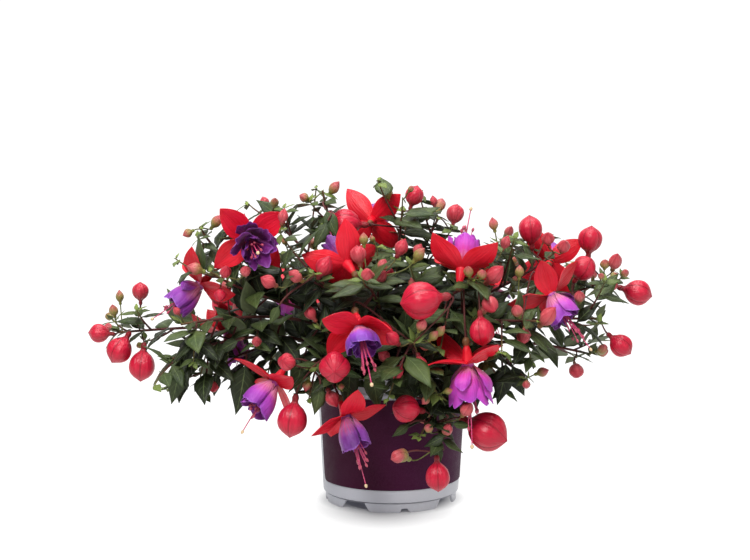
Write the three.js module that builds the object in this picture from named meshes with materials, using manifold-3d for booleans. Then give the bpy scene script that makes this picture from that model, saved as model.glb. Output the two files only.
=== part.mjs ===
// A double-flowered fuchsia in a 12 cm nursery pot. Millimetres, +Z up, origin under the middle of the pot.
// Each leafy stem is one solid of shoot, leaves and buds. Each bloom is a red calyx with its
// stamens, and a violet corolla of petals inside it.
import * as THREE from "three";
import Module from "manifold-3d";
import { mergeVertices } from "three/addons/utils/BufferGeometryUtils.js";

const wasm = await Module();
wasm.setup();

// Driving dimensions
const GAP = 0.3; // clearance between pieces that touch
const POT = {
  height: 105, rimOuter: 60, rimDrop: 13, lip: 2.4, wall: 1.5, wallTop: 58.2, wallFoot: 53.5,
  footHeight: 7, footOuter: 51.6, footWall: 2, floor: 2, padRadius: 14, padSlope: 6, sides: 30,
};
const FEET = { count: 4, turn: 56.5, gapWidth: 17, gapSlope: 5, notchWidth: 5, notchHeight: 3 };
const DRAIN = { radius: 4, ring: 42, sides: 6 };
const LABEL = { low: 18, high: 89, thickness: 0.6, from: -162, sweep: 312, steps: 26 };
const SOIL = { top: 95, crown: 1.5, holeDepth: 13, holeRadius: 3.2, holeSides: 4 };
const STEM = { foot: 2.0, tip: 1.2, sides: 3, spans: 5, collar: 3 };
const LEAF_LENGTHS = [13, 20, 27, 33, 38, 40, 38]; // from the youngest pair downwards
const NODE_PLACES = [2, 9, 22, 40, 61, 84, 108]; // distance of each pair from the tip of its stem
const PAIRS = [1, 3, 5]; // which of those pairs a stem carries; a short stem has pair 4 for pair 5
const SHORT_STEM = 118;
const LEAF = { petiole: 0.5, keel: 0.6, rim: 0.3, width: 0.5, small: 24 };
const LEAF_STATIONS = [[0.4, 1], [0.75, 0.68]]; // along the leaf, share of its half width
const BUD = { pedicel: 0.5, sides: 5, smallSides: 4, smallest: 2.7, spread: 2.0, neck: 1.5, tip: 1.45, plain: 6 };
const BUD_PROFILE = [[-1.15, 0.3], [-0.5, 0.86], [0.45, 0.9]]; // along the bud and radius, in shares of it
const TUBE = [ // height along the bloom's axis, radius: mouth, tube, neck, ovary, top of the pedicel
  [0, 4.3], [-9, 3.1], [-12.5, 2.1], [-15.5, 2.6], [-19, 0.8],
];
const SEPAL = { length: 35, width: 19, keel: 0.9, rim: 0.35, root: 2.6, depth: 4, waist: 0.3 };
const SEPAL_STATIONS = [0.28, 0.66]; // shares of its length, before the tip
const COROLLA = { mouth: 17, height: 25, thick: 0.9, ringInner: 3.1, ringOuter: 5.4, ringHeight: 2.7, ringSides: 8 };
const WHORLS = [ // petals in it, radius of its foot, size, turn in degrees
  { petals: 4, foot: 4.7, size: 1, tall: 1, turn: 0 }, { petals: 3, foot: 3.7, size: 0.64, tall: 1.05, turn: 45 },
];
const STAMENS = { count: 2, root: 1.6, radius: 0.42, anther: 0.95, reach: 12, style: 58, stigma: 1.3 };
const PEDICEL = 0.7; // radius of the stalk of a bloom

// Where each leafy stem ends: tip [x, y, z], pitch of its tip in degrees, ring of its root in the soil,
// height of its first upright stretch
const STEMS = [
  { name: "stem_left_far", tip: [-214, -10, 134], pitch: -4, root: 37, rise: 62 },
  { name: "stem_left_upper", tip: [-147, -30, 219], pitch: 62, root: 25, rise: 75 },
  { name: "stem_left_mid", tip: [-157, -80, 151], pitch: -5, root: 31, rise: 70 },
  { name: "stem_left_low", tip: [-165, -78, 124], pitch: -22, root: 43, rise: 55 },
  { name: "stem_left_hanging", tip: [-136, -44, 106], pitch: -48, root: 45, rise: 50 },
  { name: "stem_top_left", tip: [-53, -20, 246], pitch: 80, root: 10, rise: 80 },
  { name: "stem_top_back_left", tip: [-98, 25, 226], pitch: 48, root: 20, rise: 80 },
  { name: "stem_top_mid", tip: [9, -10, 230], pitch: 78, root: 8, rise: 80 },
  { name: "stem_top_right", tip: [38, 20, 222], pitch: 60, root: 12, rise: 80 },
  { name: "stem_right_top", tip: [127, -14, 198], pitch: 45, root: 24, rise: 75 },
  { name: "stem_right_far", tip: [168, 2, 174], pitch: 28, root: 33, rise: 68 },
  { name: "stem_right_mid", tip: [160, -30, 148], pitch: 2, root: 36, rise: 62 },
  { name: "stem_right_low", tip: [156, -12, 117], pitch: -14, root: 44, rise: 50 },
  { name: "stem_right_front", tip: [110, -78, 153], pitch: 5, root: 33, rise: 66 },
  { name: "stem_right_hanging", tip: [104, -50, 102], pitch: -50, root: 44, rise: 52 },
  { name: "stem_front_right", tip: [62, -80, 185], pitch: 34, root: 22, rise: 78 },
  { name: "stem_front_mid", tip: [-19, -90, 186], pitch: 34, root: 22, rise: 78 },
  { name: "stem_front_left", tip: [-58, -88, 190], pitch: 38, root: 22, rise: 78 },
  { name: "stem_left_front", tip: [-136, -64, 188], pitch: 35, root: 21, rise: 74 },
  { name: "stem_front_low_left", tip: [-60, -96, 120], pitch: -20, root: 42, rise: 56 },
  { name: "stem_front_low", tip: [16, -112, 142], pitch: 4, root: 34, rise: 62 },
  { name: "stem_front_hanging", tip: [38, -92, 58], pitch: -60, root: 44, rise: 52 },
  { name: "stem_back_left", tip: [-125, 88, 160], pitch: 8, root: 30, rise: 70 },
  { name: "stem_back_left_low", tip: [-88, 118, 108], pitch: -28, root: 43, rise: 55 },
  { name: "stem_back_mid", tip: [-18, 136, 166], pitch: 12, root: 28, rise: 70 },
  { name: "stem_back_right_low", tip: [52, 132, 108], pitch: -28, root: 43, rise: 55 },
  { name: "stem_back_right", tip: [122, 92, 160], pitch: 10, root: 30, rise: 70 },
];

// Buds set by hand: the stem each grows on, middle [x, y, z], radius, and the way its tip points
const BUDS = [
  { on: "stem_left_far", at: [-228, -14, 134], r: 7.0, aim: [-1, 0, 0.05] },
  { on: "stem_left_far", at: [-211, -24, 122], r: 9.3, aim: [-0.5, -0.2, -0.85] },
  { on: "stem_left_far", at: [-194, -20, 109], r: 10.3, aim: [-0.1, -0.1, -1] },
  { on: "stem_left_far", at: [-197, 2, 165], r: 6.2, aim: [0, 0, 1] },
  { on: "stem_top_mid", at: [18, -5, 241], r: 6.8, aim: [0.3, 0, 0.95] },
  { on: "stem_front_low", at: [20, -118, 174], r: 13.0, aim: [-0.9, -0.3, -0.1] },
  { on: "stem_front_low_left", at: [-74, -94, 81], r: 11.0, aim: [-0.15, -0.1, -1] },
  { on: "stem_front_low_left", at: [-42, -116, 125], r: 10.8, aim: [0.02, -1, -0.14] },
  { on: "stem_front_low_left", at: [-77, -112, 128], r: 6.2, aim: [-0.4, -0.8, 0.3] },
  { on: "stem_front_hanging", at: [34, -94, 38], r: 9.3, aim: [0.05, -0.05, -1] },
  { on: "stem_front_hanging", at: [72, -82, 70], r: 14.0, aim: [0.85, -0.45, -0.35] },
  { on: "stem_front_hanging", at: [10, -100, 91], r: 9.6, aim: [-0.8, -0.5, 0.2] },
  { on: "stem_front_hanging", at: [4, -104, 56], r: 4.6, aim: [-0.9, -0.2, -0.35] },
  { on: "stem_front_right", at: [66, -98, 148], r: 9.0, aim: [0.1, -0.2, -1] },
  { on: "stem_right_top", at: [109, 2, 214], r: 9.5, aim: [-0.1, -0.1, 1] },
  { on: "stem_right_far", at: [156, 3, 206], r: 9.0, aim: [0.1, 0, 1] },
  { on: "stem_right_far", at: [194, 0, 164], r: 9.5, aim: [0.95, -0.1, -0.25] },
  { on: "stem_right_mid", at: [178, -26, 126], r: 8.2, aim: [0.75, -0.1, -0.65] },
  { on: "stem_right_low", at: [143, -30, 107], r: 5.5, aim: [0.1, -0.8, -0.6] },
  { on: "stem_right_mid", at: [149, -20, 186], r: 9.0, aim: [0.3, -0.3, 0.5] },
  { on: "stem_top_left", at: [-36, -24, 221], r: 10.5, aim: [-0.95, -0.25, 0.1] },
  { on: "stem_front_mid", at: [-25, -92, 205], r: 5.6, aim: [-0.2, 0, 1] },
  { on: "stem_back_left", at: [-140, 98, 142], r: 9.5, aim: [-0.4, 0.3, -0.9] },
  { on: "stem_back_mid", at: [-22, 152, 150], r: 10.5, aim: [0, 0.5, -0.9] },
  { on: "stem_back_right_low", at: [62, 142, 82], r: 9.5, aim: [0.1, 0.2, -1] },
  { on: "stem_top_right", at: [52, 48, 222], r: 7.0, aim: [0.2, 0.4, 0.9] },
];

// Open blooms: mouth [x, y, z], the way the corolla opens, turn about that axis, size, style's bend,
// start and end angle of each sepal from the axis, and the stem that carries it
const BLOOMS = [
  { name: "bloom_upper_left", on: "stem_left_upper", mouth: [-106, -62, 213], axis: [0.22, -0.94, -0.26], turn: 0,
    size: 0.98, open: 1.1, sepals: [[78, 62], [80, 76], [105, 95], [90, 108]] },
  { name: "bloom_left", on: "stem_left_mid", mouth: [-146, -45, 176], axis: [-0.72, -0.3, -0.62], turn: 20,
    size: 0.92, open: 0.84, sepals: [[100, 120], [95, 125], [100, 115], [100, 120]] },
  { name: "bloom_low_left", on: "stem_front_low_left", mouth: [-88, -80, 107], axis: [-0.58, -0.37, -0.72], turn: 154,
    size: 0.95, open: 0.85, sepals: [[80, 64], [78, 30], [93, 97], [97, 60]] },
  { name: "bloom_front_mid", on: "stem_front_low", mouth: [-24, -114, 153], axis: [0.2, -0.66, -0.72], turn: 14,
    size: 1.0, open: 0.86, sepals: [[80, 20], [90, 75], [108, 60], [110, 50]] },
  { name: "bloom_front_low", on: "stem_front_low_left", mouth: [-34, -94, 84], axis: [0.34, -0.36, -0.86], turn: 151,
    size: 0.92, open: 0.85, sepals: [[80, 64], [85, 72], [86, 91], [90, 121]] },
  { name: "bloom_front_right", on: "stem_front_right", mouth: [56, -92, 123], axis: [0.08, -0.1, -0.99], turn: 45,
    size: 1.05, open: 1.1, sepals: [[118, 103], [108, 76], [128, 138], [130, 78]] },
  { name: "bloom_right", on: "stem_right_front", mouth: [121, -48, 169], axis: [0.51, -0.33, -0.8], turn: 4,
    size: 0.9, open: 0.9, sepals: [[113, 107], [140, 122], [105, 103], [80, 50]] },
  { name: "bloom_upper_right", on: "stem_front_right", mouth: [52, -68, 192], axis: [0.14, 0.5, 0.85], turn: 12,
    size: 1.0, open: 0.82, sepals: [[78, 42], [78, 50], [82, 90], [76, 22]] },
  { name: "bloom_upper_mid", on: "stem_front_mid", mouth: [-34, -70, 196], axis: [-0.45, 0.72, 0.52], turn: 40,
    size: 0.95, open: 0.6, sepals: [[80, 48], [80, 50], [80, 40], [80, 40]] },
  { name: "bloom_top", on: "stem_top_mid", mouth: [-15, 8, 220], axis: [0.1, 0.99, 0.03], turn: -88,
    size: 0.9, open: 0.8, sepals: [[81, 55], [78, 60], [110, 105], [80, 45]] },
  { name: "bloom_right_back", on: "stem_right_top", mouth: [126, 26, 186], axis: [0.1, 0.97, 0.1], turn: 14,
    size: 0.85, open: 0.8, sepals: [[80, 95], [80, 85], [90, 100], [85, 95]] },
  { name: "bloom_inner_left", on: "stem_left_hanging", mouth: [-127, -23, 136], axis: [0.4, -0.05, -0.9], turn: 15,
    size: 0.85, open: 0.8, sepals: [[125, 160], [125, 165], [125, 165], [120, 150]] },
  { name: "bloom_back_left", on: "stem_back_left", mouth: [-78, 124, 150], axis: [-0.15, 0.35, -0.92], turn: 30,
    size: 1.0, open: 1.05, sepals: [[100, 90], [115, 125], [105, 70], [100, 95]] },
  { name: "bloom_back_right", on: "stem_back_right", mouth: [82, 122, 152], axis: [0.2, 0.3, -0.93], turn: 5,
    size: 1.0, open: 1.0, sepals: [[105, 110], [112, 80], [110, 125], [100, 90]] },
];

const COLOURS = {
  pot: 0xd9dadf, label: 0x4b2350, soil: 0x3a2a20, leaf: 0x33502f, calyx: 0xd3132f, corolla: 0x8a3fb5,
};

const UP = new THREE.Vector3(0, 0, 1);
const vec = (x, y, z) => new THREE.Vector3(x, y, z);
const radians = THREE.MathUtils.degToRad;

// The same numbers from 0 to 1 each time, for one leaf or bud
class Draws {
  constructor(seed) {
    this.state = (seed * 7919 + 12345) % 4294967296;
    this.next();
    this.next();
  }
  next() {
    this.state = (this.state * 1664525 + 1013904223) % 4294967296;
    return this.state / 4294967296;
  }
  between(low, high) {
    return low + (high - low) * this.next();
  }
}

// A closed solid from rings of points with equal counts; an end may be a single point.
function loft(rings) {
  const sides = Math.max(...rings.map((ring) => ring.length));
  const points = rings.flat();
  const starts = [];
  rings.reduce((sum, ring) => (starts.push(sum), sum + ring.length), 0);
  const faces = [];
  for (let i = 0; i + 1 < rings.length; i += 1) {
    const [a, b] = [starts[i], starts[i + 1]];
    for (let j = 0; j < sides; j += 1) {
      const k = (j + 1) % sides;
      if (rings[i].length === 1) faces.push(a, b + k, b + j);
      else if (rings[i + 1].length === 1) faces.push(a + j, a + k, b);
      else faces.push(a + j, a + k, b + k, a + j, b + k, b + j);
    }
  }
  const last = starts[rings.length - 1];
  for (let j = 1; j + 1 < sides; j += 1) {
    if (rings[0].length > 1) faces.push(0, j + 1, j);
    if (rings[rings.length - 1].length > 1) faces.push(last, last + j, last + j + 1);
  }
  return solidOf(points.flatMap((p) => [p.x, p.y, p.z]), faces);
}

function solidOf(positions, faces) {
  const make = (triangles) => new wasm.Manifold(new wasm.Mesh({
    numProp: 3,
    vertProperties: new Float32Array(positions),
    triVerts: new Uint32Array(triangles),
  }));
  const made = make(faces);
  if (made.volume() > 0) return made;
  const turned = faces.map((v, i) => (i % 3 === 0 ? v : faces[i % 3 === 1 ? i + 1 : i - 1]));
  return make(turned);
}

// The largest of a solid's separate surfaces, without scraps or sealed pockets
const wholeOf = (solid) => solid.decompose().reduce((best, piece) => (piece.volume() > best.volume() ? piece : best));

// A three.js geometry as a solid, with its doubled vertices merged and empty faces dropped
function solidFrom(geometry) {
  const bare = new THREE.BufferGeometry().setAttribute("position", geometry.getAttribute("position"));
  if (geometry.index) bare.setIndex(geometry.index);
  const merged = mergeVertices(bare, 1e-4);
  const index = [...merged.index.array];
  const faces = [];
  for (let i = 0; i < index.length; i += 3) {
    const [a, b, c] = index.slice(i, i + 3);
    if (a !== b && b !== c && c !== a) faces.push(a, b, c);
  }
  return solidOf([...merged.attributes.position.array], faces);
}

function revolve(profile, sides) {
  const points = profile.map(([radius, height]) => new THREE.Vector2(radius, height));
  return solidFrom(new THREE.LatheGeometry(points, sides).rotateX(Math.PI / 2));
}

function geometryOf(solid) {
  const mesh = solid.getMesh();
  const positions = new Float32Array(mesh.numVert * 3);
  for (let i = 0; i < mesh.numVert; i += 1) {
    positions.set(mesh.vertProperties.subarray(i * mesh.numProp, i * mesh.numProp + 3), i * 3);
  }
  const geometry = new THREE.BufferGeometry();
  geometry.setAttribute("position", new THREE.BufferAttribute(positions, 3));
  geometry.setIndex(new THREE.BufferAttribute(new Uint32Array(mesh.triVerts), 1));
  return geometry;
}

// A ring of points round a centre, in the plane of two unit vectors
function ring(centre, side, rise, radius, sides) {
  return Array.from({ length: sides }, (_, i) => {
    const a = (2 * Math.PI * i) / sides;
    return centre.clone().addScaledVector(side, radius * Math.cos(a)).addScaledVector(rise, radius * Math.sin(a));
  });
}

// A closed tube through points, its rings turned with the path; the last point may be its tip
function tube(points, radii, sides, firstSide) {
  const side = firstSide.clone();
  let before;
  return loft(points.map((point, i) => {
    const [from, to] = [points[Math.max(i - 1, 0)], points[Math.min(i + 1, points.length - 1)]];
    const tangent = to.clone().sub(from).normalize();
    if (before) side.applyQuaternion(new THREE.Quaternion().setFromUnitVectors(before, tangent));
    before = tangent;
    if (radii[i] === 0) return [point];
    return ring(point, side, new THREE.Vector3().crossVectors(tangent, side).normalize(), radii[i], sides);
  }));
}

// Two unit vectors across a direction, the first one level where it can be
function across(direction) {
  const level = new THREE.Vector3().crossVectors(UP, direction);
  if (level.lengthSq() < 1e-6) level.set(1, 0, 0);
  level.normalize();
  return [level, new THREE.Vector3().crossVectors(direction, level).normalize()];
}

// Pot, label and soil

const wallRadius = (z) =>
  POT.wallFoot + ((POT.wallTop - POT.wallFoot) * (z - POT.footHeight)) / (POT.height - POT.rimDrop - POT.footHeight);

// A wedge of the given width and slope that cuts through the foot from outside
function footCutter(width, slope, height, angle) {
  const shape = new THREE.Shape();
  shape.moveTo(-width / 2 - slope, -1);
  shape.lineTo(width / 2 + slope, -1);
  shape.lineTo(width / 2, height);
  shape.lineTo(-width / 2, height);
  const depth = 14;
  const geometry = new THREE.ExtrudeGeometry(shape, { depth, bevelEnabled: false });
  geometry.rotateX(Math.PI / 2).translate(0, -(POT.footOuter - depth / 2 - POT.footWall), 0);
  return solidFrom(geometry.rotateZ(radians(angle)));
}

function pot() {
  const { height, footHeight, footOuter, footWall, floor, padRadius, padSlope, wall, lip } = POT;
  const shoulder = height - POT.rimDrop;
  const floorTop = footHeight + floor;
  let body = revolve([
    [0, 0], [padRadius, 0], [padRadius + padSlope, footHeight], [footOuter - footWall, footHeight],
    [footOuter - footWall, 0], [footOuter, 0], [footOuter + 0.2, footHeight], [POT.wallFoot, footHeight],
    [POT.wallTop, shoulder], [POT.rimOuter, shoulder], [POT.rimOuter, height], [POT.rimOuter - lip, height],
    [POT.wallTop - wall, shoulder], [wallRadius(floorTop) - wall, floorTop], [0, floorTop],
  ], POT.sides);
  for (let i = 0; i < FEET.count; i += 1) {
    const angle = FEET.turn + (360 / FEET.count) * i;
    body = body.subtract(footCutter(FEET.gapWidth, FEET.gapSlope, footHeight - 0.4, angle));
    body = body.subtract(footCutter(FEET.notchWidth, FEET.notchWidth / 2 - 1, FEET.notchHeight, angle + 45));
    const hole = new THREE.CylinderGeometry(DRAIN.radius, DRAIN.radius, 12, DRAIN.sides);
    hole.rotateX(Math.PI / 2).translate(0, -DRAIN.ring, floorTop);
    body = body.subtract(solidFrom(hole.rotateZ(radians(angle))));
  }
  return body;
}

function label() {
  const { low, high, thickness, from, sweep, steps } = LABEL;
  const rings = [];
  for (let i = 0; i <= steps; i += 1) {
    const a = radians(from + (sweep * i) / steps);
    const at = (z, out) => {
      const radius = wallRadius(z) + GAP + out;
      return vec(radius * Math.cos(a), radius * Math.sin(a), z);
    };
    rings.push([at(low, 0), at(low, thickness), at(high, thickness), at(high, 0)]);
  }
  return loft(rings);
}

function soil(stems) {
  const bottom = POT.footHeight + POT.floor + GAP;
  const inner = (z) => (wallRadius(z) - POT.wall) * Math.cos(Math.PI / POT.sides) - GAP;
  let body = revolve([
    [0, bottom], [inner(bottom), bottom], [inner(POT.height - POT.rimDrop), POT.height - POT.rimDrop],
    [inner(POT.height - POT.rimDrop), SOIL.top - 1], [22, SOIL.top + SOIL.crown], [0, SOIL.top + SOIL.crown],
  ], POT.sides / 2);
  for (const stem of stems) {
    const hole = new THREE.CylinderGeometry(SOIL.holeRadius, SOIL.holeRadius, 2 * SOIL.holeDepth, SOIL.holeSides);
    hole.rotateX(Math.PI / 2).translate(stem.root.x, stem.root.y, SOIL.top + 0.3);
    body = body.subtract(solidFrom(hole));
  }
  return body;
}

// Stems

// The path of a stem: upright out of the soil, then outwards in its own upright plane to its tip
function stemPath(data) {
  const tip = vec(...data.tip);
  const way = Math.atan2(tip.y, tip.x);
  const out = vec(Math.cos(way), Math.sin(way), 0);
  const root = out.clone().multiplyScalar(data.root).setZ(SOIL.top - SOIL.holeDepth + 1);
  const reach = Math.hypot(tip.x, tip.y) - data.root;
  const pitch = radians(data.pitch);
  const heading = out.clone().multiplyScalar(Math.cos(pitch)).addScaledVector(UP, Math.sin(pitch));
  const collar = root.clone().setZ(SOIL.top + STEM.collar);
  const first = collar.clone().addScaledVector(UP, data.rise - SOIL.holeDepth);
  const pull = 0.42 * Math.hypot(reach, tip.z - root.z - data.rise * 0.5);
  const curve = new THREE.CubicBezierCurve3(collar, first, tip.clone().addScaledVector(heading, -pull), tip);
  const steps = 60;
  const points = curve.getPoints(steps);
  const lengths = [0];
  for (let i = 1; i <= steps; i += 1) lengths.push(lengths[i - 1] + points[i].distanceTo(points[i - 1]));
  return { root, out, points, lengths, length: lengths[steps] };
}

// Place and heading at a distance back from the tip
function fromTip(path, distance) {
  const target = Math.max(0, path.length - distance);
  let i = 1;
  while (i < path.lengths.length - 1 && path.lengths[i] < target) i += 1;
  const share = (target - path.lengths[i - 1]) / (path.lengths[i] - path.lengths[i - 1]);
  const place = path.points[i - 1].clone().lerp(path.points[i], share);
  const heading = path.points[i].clone().sub(path.points[i - 1]).normalize();
  return { place, heading, radius: stemRadius(path, distance) };
}

const stemRadius = (path, distance) =>
  STEM.tip + (STEM.foot - STEM.tip) * Math.min(1, Math.max(0, distance) / path.length);

function stemSolid(path) {
  const places = [path.root];
  const radii = [STEM.foot];
  for (let i = 0; i <= STEM.spans; i += 1) {
    const { place, radius } = fromTip(path, path.length * (1 - i / STEM.spans));
    places.push(place);
    radii.push(radius);
  }
  return tube(places, radii, STEM.sides, vec(-path.out.y, path.out.x, 0));
}

// Leaves

// A leaf with a keel below and a flat top; grown by a margin where it only tests for room,
// and cut short at its foot where it is tested against its own stem
function leafSolid(leaf, from = 0, margin = 0) {
  const section = (t, half, share) => {
    const centre = leafPoint(leaf, t);
    const normal = leafNormal(leaf, t);
    const edge = (hand) => centre.clone().addScaledVector(leaf.side, hand * half)
      .addScaledVector(normal, LEAF.rim * share + margin);
    return [edge(1), centre.clone().addScaledVector(normal, -LEAF.keel * share - margin), edge(-1)];
  };
  const rings = [section(from, LEAF.petiole + margin, 0.6)];
  for (const [t, share] of leaf.length < LEAF.small ? LEAF_STATIONS.slice(0, 1) : LEAF_STATIONS) {
    rings.push(section(t, share * leaf.length * LEAF.width * 0.5 + margin, 1));
  }
  rings.push([leafPoint(leaf, 1).addScaledVector(leaf.heading, margin)]);
  return loft(rings);
}

const leafPoint = (leaf, t) => leaf.place.clone()
  .addScaledVector(leaf.heading, leaf.length * t * (1 - 0.25 * leaf.droop * t * t))
  .addScaledVector(leaf.normal, -leaf.length * leaf.droop * t * t);

const leafNormal = (leaf, t) =>
  leaf.normal.clone().addScaledVector(leaf.heading, 2 * leaf.droop * t).normalize();

// Turn about the stem in degrees, extra hang, and size, tried in order until the leaf has room
const ATTITUDES = [
  [0, 0, 1], [24, 0, 1], [-24, 0, 1], [0, 0.45, 1], [0, -0.4, 1], [45, 0.2, 0.85], [-45, 0.2, 0.85], [0, 0.8, 0.75],
  [20, -0.5, 0.75], [-20, -0.5, 0.7],
];

function leafAt(path, stemIndex, pair, hand, attitude) {
  const draws = new Draws(stemIndex * 97 + pair * 11 + (hand > 0 ? 1 : 2));
  const { place, heading } = fromTip(path, NODE_PLACES[pair]);
  const [level, rise] = across(heading);
  const [turn, hang, size] = attitude;
  const base = pair % 2 ? 12 : 62;
  const angle = radians(base + draws.between(-10, 10) + turn);
  const out = level.clone().multiplyScalar(Math.cos(angle)).addScaledVector(rise, Math.sin(angle) * hand)
    .multiplyScalar(hand);
  if (hand < 0) out.addScaledVector(rise, 0.1);
  const lean = draws.between(0.35, 0.65);
  const fall = draws.between(0.1, 0.45) + hang;
  const direction = heading.clone().multiplyScalar(lean).add(out).addScaledVector(UP, -fall).normalize();
  const light = UP.clone().multiplyScalar(0.75).addScaledVector(path.out, 0.45).addScaledVector(out, 0.15);
  const normal = light.addScaledVector(direction, -light.dot(direction)).normalize();
  const length = LEAF_LENGTHS[pair] * draws.between(0.85, 1.15) * size;
  return {
    place, heading: direction, normal, side: new THREE.Vector3().crossVectors(direction, normal),
    length, droop: draws.between(0.08, 0.26),
  };
}

// Buds

const bezier = (a, b, c, d) => new THREE.CubicBezierCurve3(a, b, c, d);

// A bud on its stalk, from the middle of its stem to its pointed tip
function budSolid(bud, margin = 0) {
  const { foot, middle, aim, r, start, sides } = bud;
  const neck = middle.clone().addScaledVector(aim, -r * BUD.neck);
  const bend = foot.distanceTo(neck) * 0.4;
  const stalk = bezier(foot, foot.clone().addScaledVector(start, bend), neck.clone().addScaledVector(aim, -bend), neck);
  const places = r > BUD.plain ? [foot, stalk.getPoint(0.55)] : [foot];
  const radii = places.map(() => BUD.pedicel + margin);
  for (const [along, share] of BUD_PROFILE) {
    places.push(middle.clone().addScaledVector(aim, along * r));
    radii.push(share * r + margin);
  }
  places.push(middle.clone().addScaledVector(aim, r * BUD.tip + margin));
  return tube(places, [...radii, 0], sides, across(start)[0]);
}

function nearest(path, point) {
  let best = 6;
  for (let d = 2; d < path.length * 0.8; d += 2) {
    if (fromTip(path, d).place.distanceTo(point) < fromTip(path, best).place.distanceTo(point)) best = d;
  }
  return fromTip(path, best);
}

function handBud(data, path) {
  const middle = vec(...data.at);
  const aim = vec(...data.aim).normalize();
  const base = middle.clone().addScaledVector(aim, -data.r * 1.9);
  const { place, heading } = nearest(path, base);
  const start = base.clone().sub(place).normalize().addScaledVector(heading, 0.6).normalize();
  return { foot: place, middle, aim, r: data.r, start, sides: BUD.sides };
}

// A small upright bud in the axil of the youngest pair
function tipBud(path, stemIndex, count, attitude) {
  const draws = new Draws(stemIndex * 131 + count * 17 + 5);
  const { place, heading } = fromTip(path, 4 + 5 * count);
  const [level, rise] = across(heading);
  const angle = draws.between(0, 2 * Math.PI) + radians(attitude[0] * 3);
  const out = level.multiplyScalar(Math.cos(angle)).addScaledVector(rise, Math.sin(angle));
  const aim = heading.clone().multiplyScalar(0.8 - attitude[1]).addScaledVector(out, 0.7)
    .addScaledVector(UP, 0.5).normalize();
  const r = draws.between(BUD.smallest, BUD.smallest + BUD.spread) * attitude[2];
  const middle = place.clone().addScaledVector(aim, draws.between(9, 14) + r);
  return { foot: place, middle, aim, r, start: out.clone().add(heading).normalize(), sides: BUD.smallSides };
}

// Blooms

// The axis, turned frame and pedicel of a bloom
function bloomFrame(data, path) {
  const axis = vec(...data.axis).normalize();
  const [level, rise] = across(axis);
  const turn = radians(data.turn);
  const side = level.clone().multiplyScalar(Math.cos(turn)).addScaledVector(rise, Math.sin(turn));
  const front = new THREE.Vector3().crossVectors(axis, side);
  const mouth = vec(...data.mouth);
  const k = data.size;
  const top = mouth.clone().addScaledVector(axis, TUBE[TUBE.length - 1][0] * k);
  const { place } = nearest(path, top);
  const away = top.clone().sub(place).normalize();
  return { axis, side, front, mouth, k, top, foot: pedicelFoot(path, place, away), away };
}

// The end of a pedicel, as near to the middle of its stem as the gap allows
function pedicelFoot(path, place, away) {
  const probe = (reach) => tube([reach - GAP, reach + 2].map((d) => place.clone().addScaledVector(away, d)),
    [PEDICEL + GAP, PEDICEL + GAP], 4, across(away)[0]);
  let reach = GAP;
  while (!probe(reach).intersect(path.solid).isEmpty()) reach += 0.05;
  return place.clone().addScaledVector(away, reach);
}

// A point of the bloom from its angle, radius and height along the axis, in its turned frame
const onBloom = (f, angle, radius, height) => f.mouth.clone()
  .addScaledVector(f.side, Math.cos(angle) * radius * f.k)
  .addScaledVector(f.front, Math.sin(angle) * radius * f.k)
  .addScaledVector(f.axis, height * f.k);

// Radius, height and slope along a sepal's midrib, whose angle from the axis turns evenly
function sepalMidrib(start, end, share) {
  const steps = 24;
  let [radius, height] = [SEPAL.root, -1.4];
  const step = (SEPAL.length * share) / steps;
  for (let i = 0; i < steps; i += 1) {
    const angle = radians(start + ((end - start) * share * (i + 0.5)) / steps);
    radius += Math.sin(angle) * step;
    height += Math.cos(angle) * step;
  }
  return { radius, height, angle: radians(start + (end - start) * share) };
}

const SEPAL_PEAK = 0.42;
function sepalShape(t) {
  if (t < SEPAL_PEAK) return SEPAL.waist + (1 - SEPAL.waist) * Math.sin((Math.PI / 2) * (t / SEPAL_PEAK));
  return 1 - ((t - SEPAL_PEAK) / (1 - SEPAL_PEAK)) ** 1.7;
}

function sepalSolid(f, azimuth, [start, end]) {
  const rings = SEPAL_STATIONS.map((t) => {
    const { radius, height, angle } = sepalMidrib(start, end, t);
    const centre = onBloom(f, azimuth, radius, height);
    const outward = onBloom(f, azimuth, 1, 0).sub(f.mouth).normalize();
    const tangent = new THREE.Vector3().crossVectors(f.axis, outward);
    const inner = outward.clone().multiplyScalar(-Math.cos(angle)).addScaledVector(f.axis, Math.sin(angle));
    const half = sepalShape(t) * SEPAL.width * 0.5 * f.k;
    const edge = (hand) => centre.clone().addScaledVector(tangent, hand * half).addScaledVector(inner, SEPAL.rim);
    return [edge(1), centre.clone().addScaledVector(inner, -SEPAL.keel), edge(-1)];
  });
  const tip = sepalMidrib(start, end, 1);
  return loft([[onBloom(f, 0, 0, -SEPAL.depth)], ...rings, [onBloom(f, azimuth, tip.radius, tip.height)]]);
}

// A stamen or the style: a thread that spreads as it leaves the mouth, with its head
function threadSolid(f, azimuth, rootRadius, endRadius, length, thick, head, headLength) {
  const at = (share, extra = 0) => onBloom(f, azimuth, rootRadius + (endRadius - rootRadius) * share * share,
    -1.5 + (length + 1.5) * share + extra);
  return tube([at(0), at(1), at(1, headLength)], [thick * f.k, head * f.k, 0], 3, f.side);
}

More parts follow.
